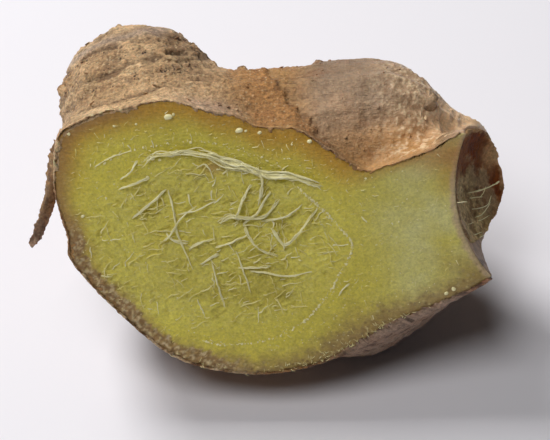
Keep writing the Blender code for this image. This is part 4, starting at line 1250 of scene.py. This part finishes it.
# Beads of sap and small crumbs on the cut: a dotted ring where the vessels of the core's
# sheath were cut, and crumbs of flesh near the upper edge. Each is a small rounded lump.
CRUMBS = [   # place on the cut, size
    (-16.6, 22.9, 0.55), (-15.9, 23.2, 0.35), (-7.0, 20.9, 0.40), (-6.1, 20.8, 0.30), (-4.2, 20.6, 0.32),
    (-21.9, 17.9, 0.22), (-30.2, 20.3, 0.35), (-13.6, 19.1, 0.20), (-25.4, 10.9, 0.25), (-28.7, 8.2, 0.30),
    (-24.0, 21.5, 0.28), (-21.0, 21.8, 0.25), (2.6, 19.3, 0.3), (0.2, 18.9, 0.26), (10.4, 13.8, 0.24),
    (23.0, -2.9, 0.5), (22.0, -3.6, 0.35), (-19.6, 13.9, 0.35), (-18.9, 16.8, 0.45), (-17.9, 16.6, 0.3),
]
RING_WALK = [
    (-26.8, 15.4), (-21.9, 17.9), (-13.7, 19.2), (-8.9, 18.6), (-2.0, 16.0), (0.7, 12.9), (2.4, 11.1),
    (4.0, 9.6), (5.5, 8.1), (7.1, 6.2), (8.5, 4.4), (8.4, 2.3), (7.4, 0.4), (6.0, -2.6), (4.0, -5.8),
    (1.4, -8.5), (-2.8, -10.8), (-8.5, -11.6), (-12.7, -10.9),
]
RING_DOTS = (0.05, 0.06, 0.08, 0.15)
LOOSE_CRUMBS = 420
dice = random.Random(29)
beads = [(x, y, dice.uniform(0.5, 1) * size) for x, y, size in CRUMBS]
ring_path = smooth_path(RING_WALK, 30)
for x, y in ring_path:
    if dice.random() < (0.8 if x > 0 else 0.6):
        beads.append((x + dice.gauss(0, 0.09), y + dice.gauss(0, 0.09), dice.choice(RING_DOTS)))
for _ in range(LOOSE_CRUMBS):
    turn, radius = dice.uniform(0, math.tau), dice.uniform(0.35, 1.0) ** 0.5
    x, y = -4 + 27 * radius * math.cos(turn), 4.5 + 17 * radius * math.sin(turn)
    if math.hypot(x, y) < float(flesh_radius(np.array([math.atan2(y, x)]))[0]) - 1:
        beads.append((x, y, dice.uniform(0.04, 0.09)))
beads = np.array(beads)
bead_mesh = bpy.data.meshes.new("beads")
heights = flesh_height(beads[:, 0], beads[:, 1]) + beads[:, 2] * 0.25
bead_mesh.from_pydata(np.column_stack([beads[:, :2], heights]).tolist(), [], [])
paint(bead_mesh, "size", beads[:, 2])
bead_finish, tree, shader = new_finish("ginger_sap", Roughness=0.25)
shader.inputs["Base Color"].default_value = (*shade(254, 246, 190), 1)

bead_tree, given, last = new_growth("beads", Roundness=0.65, Roughness=0.55, Seed=3, Sap=bead_finish)
dots = add_node(bead_tree, 'GeometryNodeMeshToPoints', {"Mesh": given["Geometry"]})
lump = add_node(bead_tree, 'GeometryNodeMeshIcoSphere', {"Radius": 1.0, "Subdivisions": 2})
size = add_node(bead_tree, 'GeometryNodeInputNamedAttribute', {"Name": "size"}).outputs[0]
squash = add_node(bead_tree, 'ShaderNodeCombineXYZ', {
    0: math_of(bead_tree, 'MULTIPLY', size, random_between(bead_tree, 0.8, 1.7, given["Seed"], 1)),
    1: size, 2: math_of(bead_tree, 'MULTIPLY', size, given["Roundness"])})
spun = add_node(bead_tree, 'ShaderNodeCombineXYZ', {
    2: random_between(bead_tree, 0.0, 6.28, given["Seed"], 2)})
spin_way = add_node(bead_tree, 'FunctionNodeEulerToRotation', {0: spun.outputs[0]}).outputs[0]
placed = add_node(bead_tree, 'GeometryNodeInstanceOnPoints', {
    "Points": dots.outputs[0], "Instance": lump.outputs[0], "Rotation": spin_way,
    "Scale": squash.outputs[0]})
real = add_node(bead_tree, 'GeometryNodeRealizeInstances', {"Geometry": placed.outputs[0]})
lumpy = wandering(bead_tree, real.outputs[0], math_of(bead_tree, 'MULTIPLY', given["Roughness"], 0.5), 2.5)
end_growth(bead_tree, last, lumpy, given["Sap"])
sap = grow("sap_beads", bead_mesh, bead_tree, Seed=3)
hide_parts("ginger_root")
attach(sap, "root")

# The hanging strip of skin: a narrow tongue torn loose at the left of the cut, dry and
# curled, that hangs down beside it to a ragged point. It is a thin curved sheet swept
# down its own line.
STRIP_LINE = [(-31.2, 18.4), (-32.4, 15), (-33.1, 11.2), (-34.2, 7.4), (-35.4, 4.6), (-36.4, 2.9)]
STRIP_HALF_WIDTHS = [1.5, 1.1, 0.95, 0.9, 0.75, 0.35]
STRIP_THICKNESS = 0.28
strip_steps = 150
line = smooth_path(STRIP_LINE, 30)
share = np.linspace(0, 1, strip_steps)
line = np.column_stack([np.interp(share, np.linspace(0, 1, len(line)), line[:, axis]) for axis in (0, 1)])
half = np.interp(share, np.linspace(0, 1, len(STRIP_HALF_WIDTHS)), STRIP_HALF_WIDTHS)
depth = -1.6 - 0.9 * np.sin((18.4 - line[:, 1]) / 6)
tangent = np.gradient(line, axis=0)
tangent /= np.linalg.norm(tangent, axis=1)[:, None]
sideways = np.column_stack([-tangent[:, 1], tangent[:, 0]])
ACROSS = 15
strip_points = []
for layer in (1, -1):
    for column in range(ACROSS)[::layer]:
        part = column / (ACROSS - 1) * 2 - 1
        torn = 1 + 0.35 * grain_noise(np.column_stack([line, np.full(strip_steps, 9.0 * np.sign(part))]),
                                      (0.8, 0.8, 1), 51.0, 3)
        spot = line + sideways * (half * part * torn)[:, None]
        curl = 0.45 * half * (1 - part ** 2) + 0.35 * np.sin(6 * share + 2 * part)
        height = depth + curl + layer * STRIP_THICKNESS / 2 * (1 - 0.7 * part ** 2)
        strip_points.append(np.column_stack([spot, height]))
strip_points = np.array(strip_points).transpose(1, 0, 2).reshape(-1, 3)
strip_points += 0.12 * np.column_stack([grain_noise(strip_points, (0.9, 0.9, 0.9), shift, 3)
                                        for shift in (5, 25, 45)])
strip_mesh = swept_mesh("skin_strip", strip_points, 2 * ACROSS)
points = mesh_points(strip_mesh)
STRIP_BROWN = shade(150, 118, 78)
STRIP_GREY = shade(128, 108, 92)
tone = np.tile(STRIP_BROWN, (len(points), 1))
tone = blend_tone(tone, STRIP_GREY, smooth_step((10 - points[:, 1]) / 6) * 0.7)
streak = grain_noise(points, (1.4, 0.35, 1.4), 53.0, 3)
tone = blend_tone(tone, DARK_BROWN_AND_CREASE_SHADE, smooth_step((streak - 0.1) / 0.3) * 0.6)
tone *= (1 + 0.3 * grain_noise(points, (1.3, 1.3, 1.3), 57.0, 3))[:, None]
paint_skin(strip_mesh, tone, speck=0.2, gloss=0.2)
strip = show("skin_strip", strip_mesh)
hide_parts("ginger_root")
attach(strip, "root")

# The floor is a plain pale sheet. A window light high at the back left and a weaker ceiling
# light at the front left, both large and soft, light the piece.
floor_mesh = bpy.data.meshes.new("floor")
form = bmesh.new()
bmesh.ops.create_grid(form, x_segments=2, y_segments=2, size=1.5)
form.to_mesh(floor_mesh)
form.free()
floor = bpy.data.objects.new("floor", floor_mesh)
bpy.context.scene.collection.objects.link(floor)
floor_finish, tree, shader = new_finish("floor", Roughness=0.8, Specular_IOR_Level=0.2)
shader.inputs["Base Color"].default_value = (*shade(236, 235, 241), 1)
floor_mesh.materials.append(floor_finish)

scene = bpy.context.scene
scene.view_settings.view_transform = 'Standard'
world = bpy.data.worlds.new("room")
world.use_nodes = True
world.node_tree.nodes["Background"].inputs["Color"].default_value = (0.90, 0.92, 1.0, 1)
world.node_tree.nodes["Background"].inputs["Strength"].default_value = 0.025
scene.world = world


def soft_light(name, place, aim, size, watts, colour=(1, 1, 1)):
    lamp = bpy.data.lights.new(name, 'AREA')
    lamp.shape = 'DISK'
    lamp.size = size
    lamp.energy = watts
    lamp.color = colour
    holder = bpy.data.objects.new(name, lamp)
    scene.collection.objects.link(holder)
    holder.location = place
    holder.rotation_euler = (Vector(aim) - Vector(place)).to_track_quat('-Z', 'Y').to_euler()


soft_light("window", (-0.32, 0.33, 0.58), (0, 0, 0.02), 0.30, 4.5, (1.0, 0.985, 0.97))
soft_light("ceiling", (-0.19, -0.17, 0.63), (0, 0, 0.02), 0.34, 1.9, (1.0, 0.985, 0.97))

# The camera looks down on the cut at 48 degrees, as the photograph does.
CAMERA_RISE = math.radians(48)
CAMERA_DISTANCE = 0.30
PIXEL = 0.00014
CUT_MIDDLE_PIXEL = (290, 270)
PICTURE = (550, 440)
toward = Vector((0, -math.cos(CAMERA_RISE), math.sin(CAMERA_RISE)))
up = Vector((0, math.sin(CAMERA_RISE), math.cos(CAMERA_RISE)))
aim = CUT_MIDDLE + Vector((1, 0, 0)) * (PICTURE[0] / 2 - CUT_MIDDLE_PIXEL[0]) * PIXEL
aim += up * (CUT_MIDDLE_PIXEL[1] - PICTURE[1] / 2) * PIXEL
lens = bpy.data.cameras.new("camera")
lens.sensor_width = 36.0
lens.lens = 36.0 * CAMERA_DISTANCE / (PIXEL * PICTURE[0])
lens.clip_start = 0.01
camera = bpy.data.objects.new("camera", lens)
scene.collection.objects.link(camera)
camera.location = aim + toward * CAMERA_DISTANCE
camera.rotation_euler = toward.to_track_quat('Z', 'Y').to_euler()
scene.camera = camera
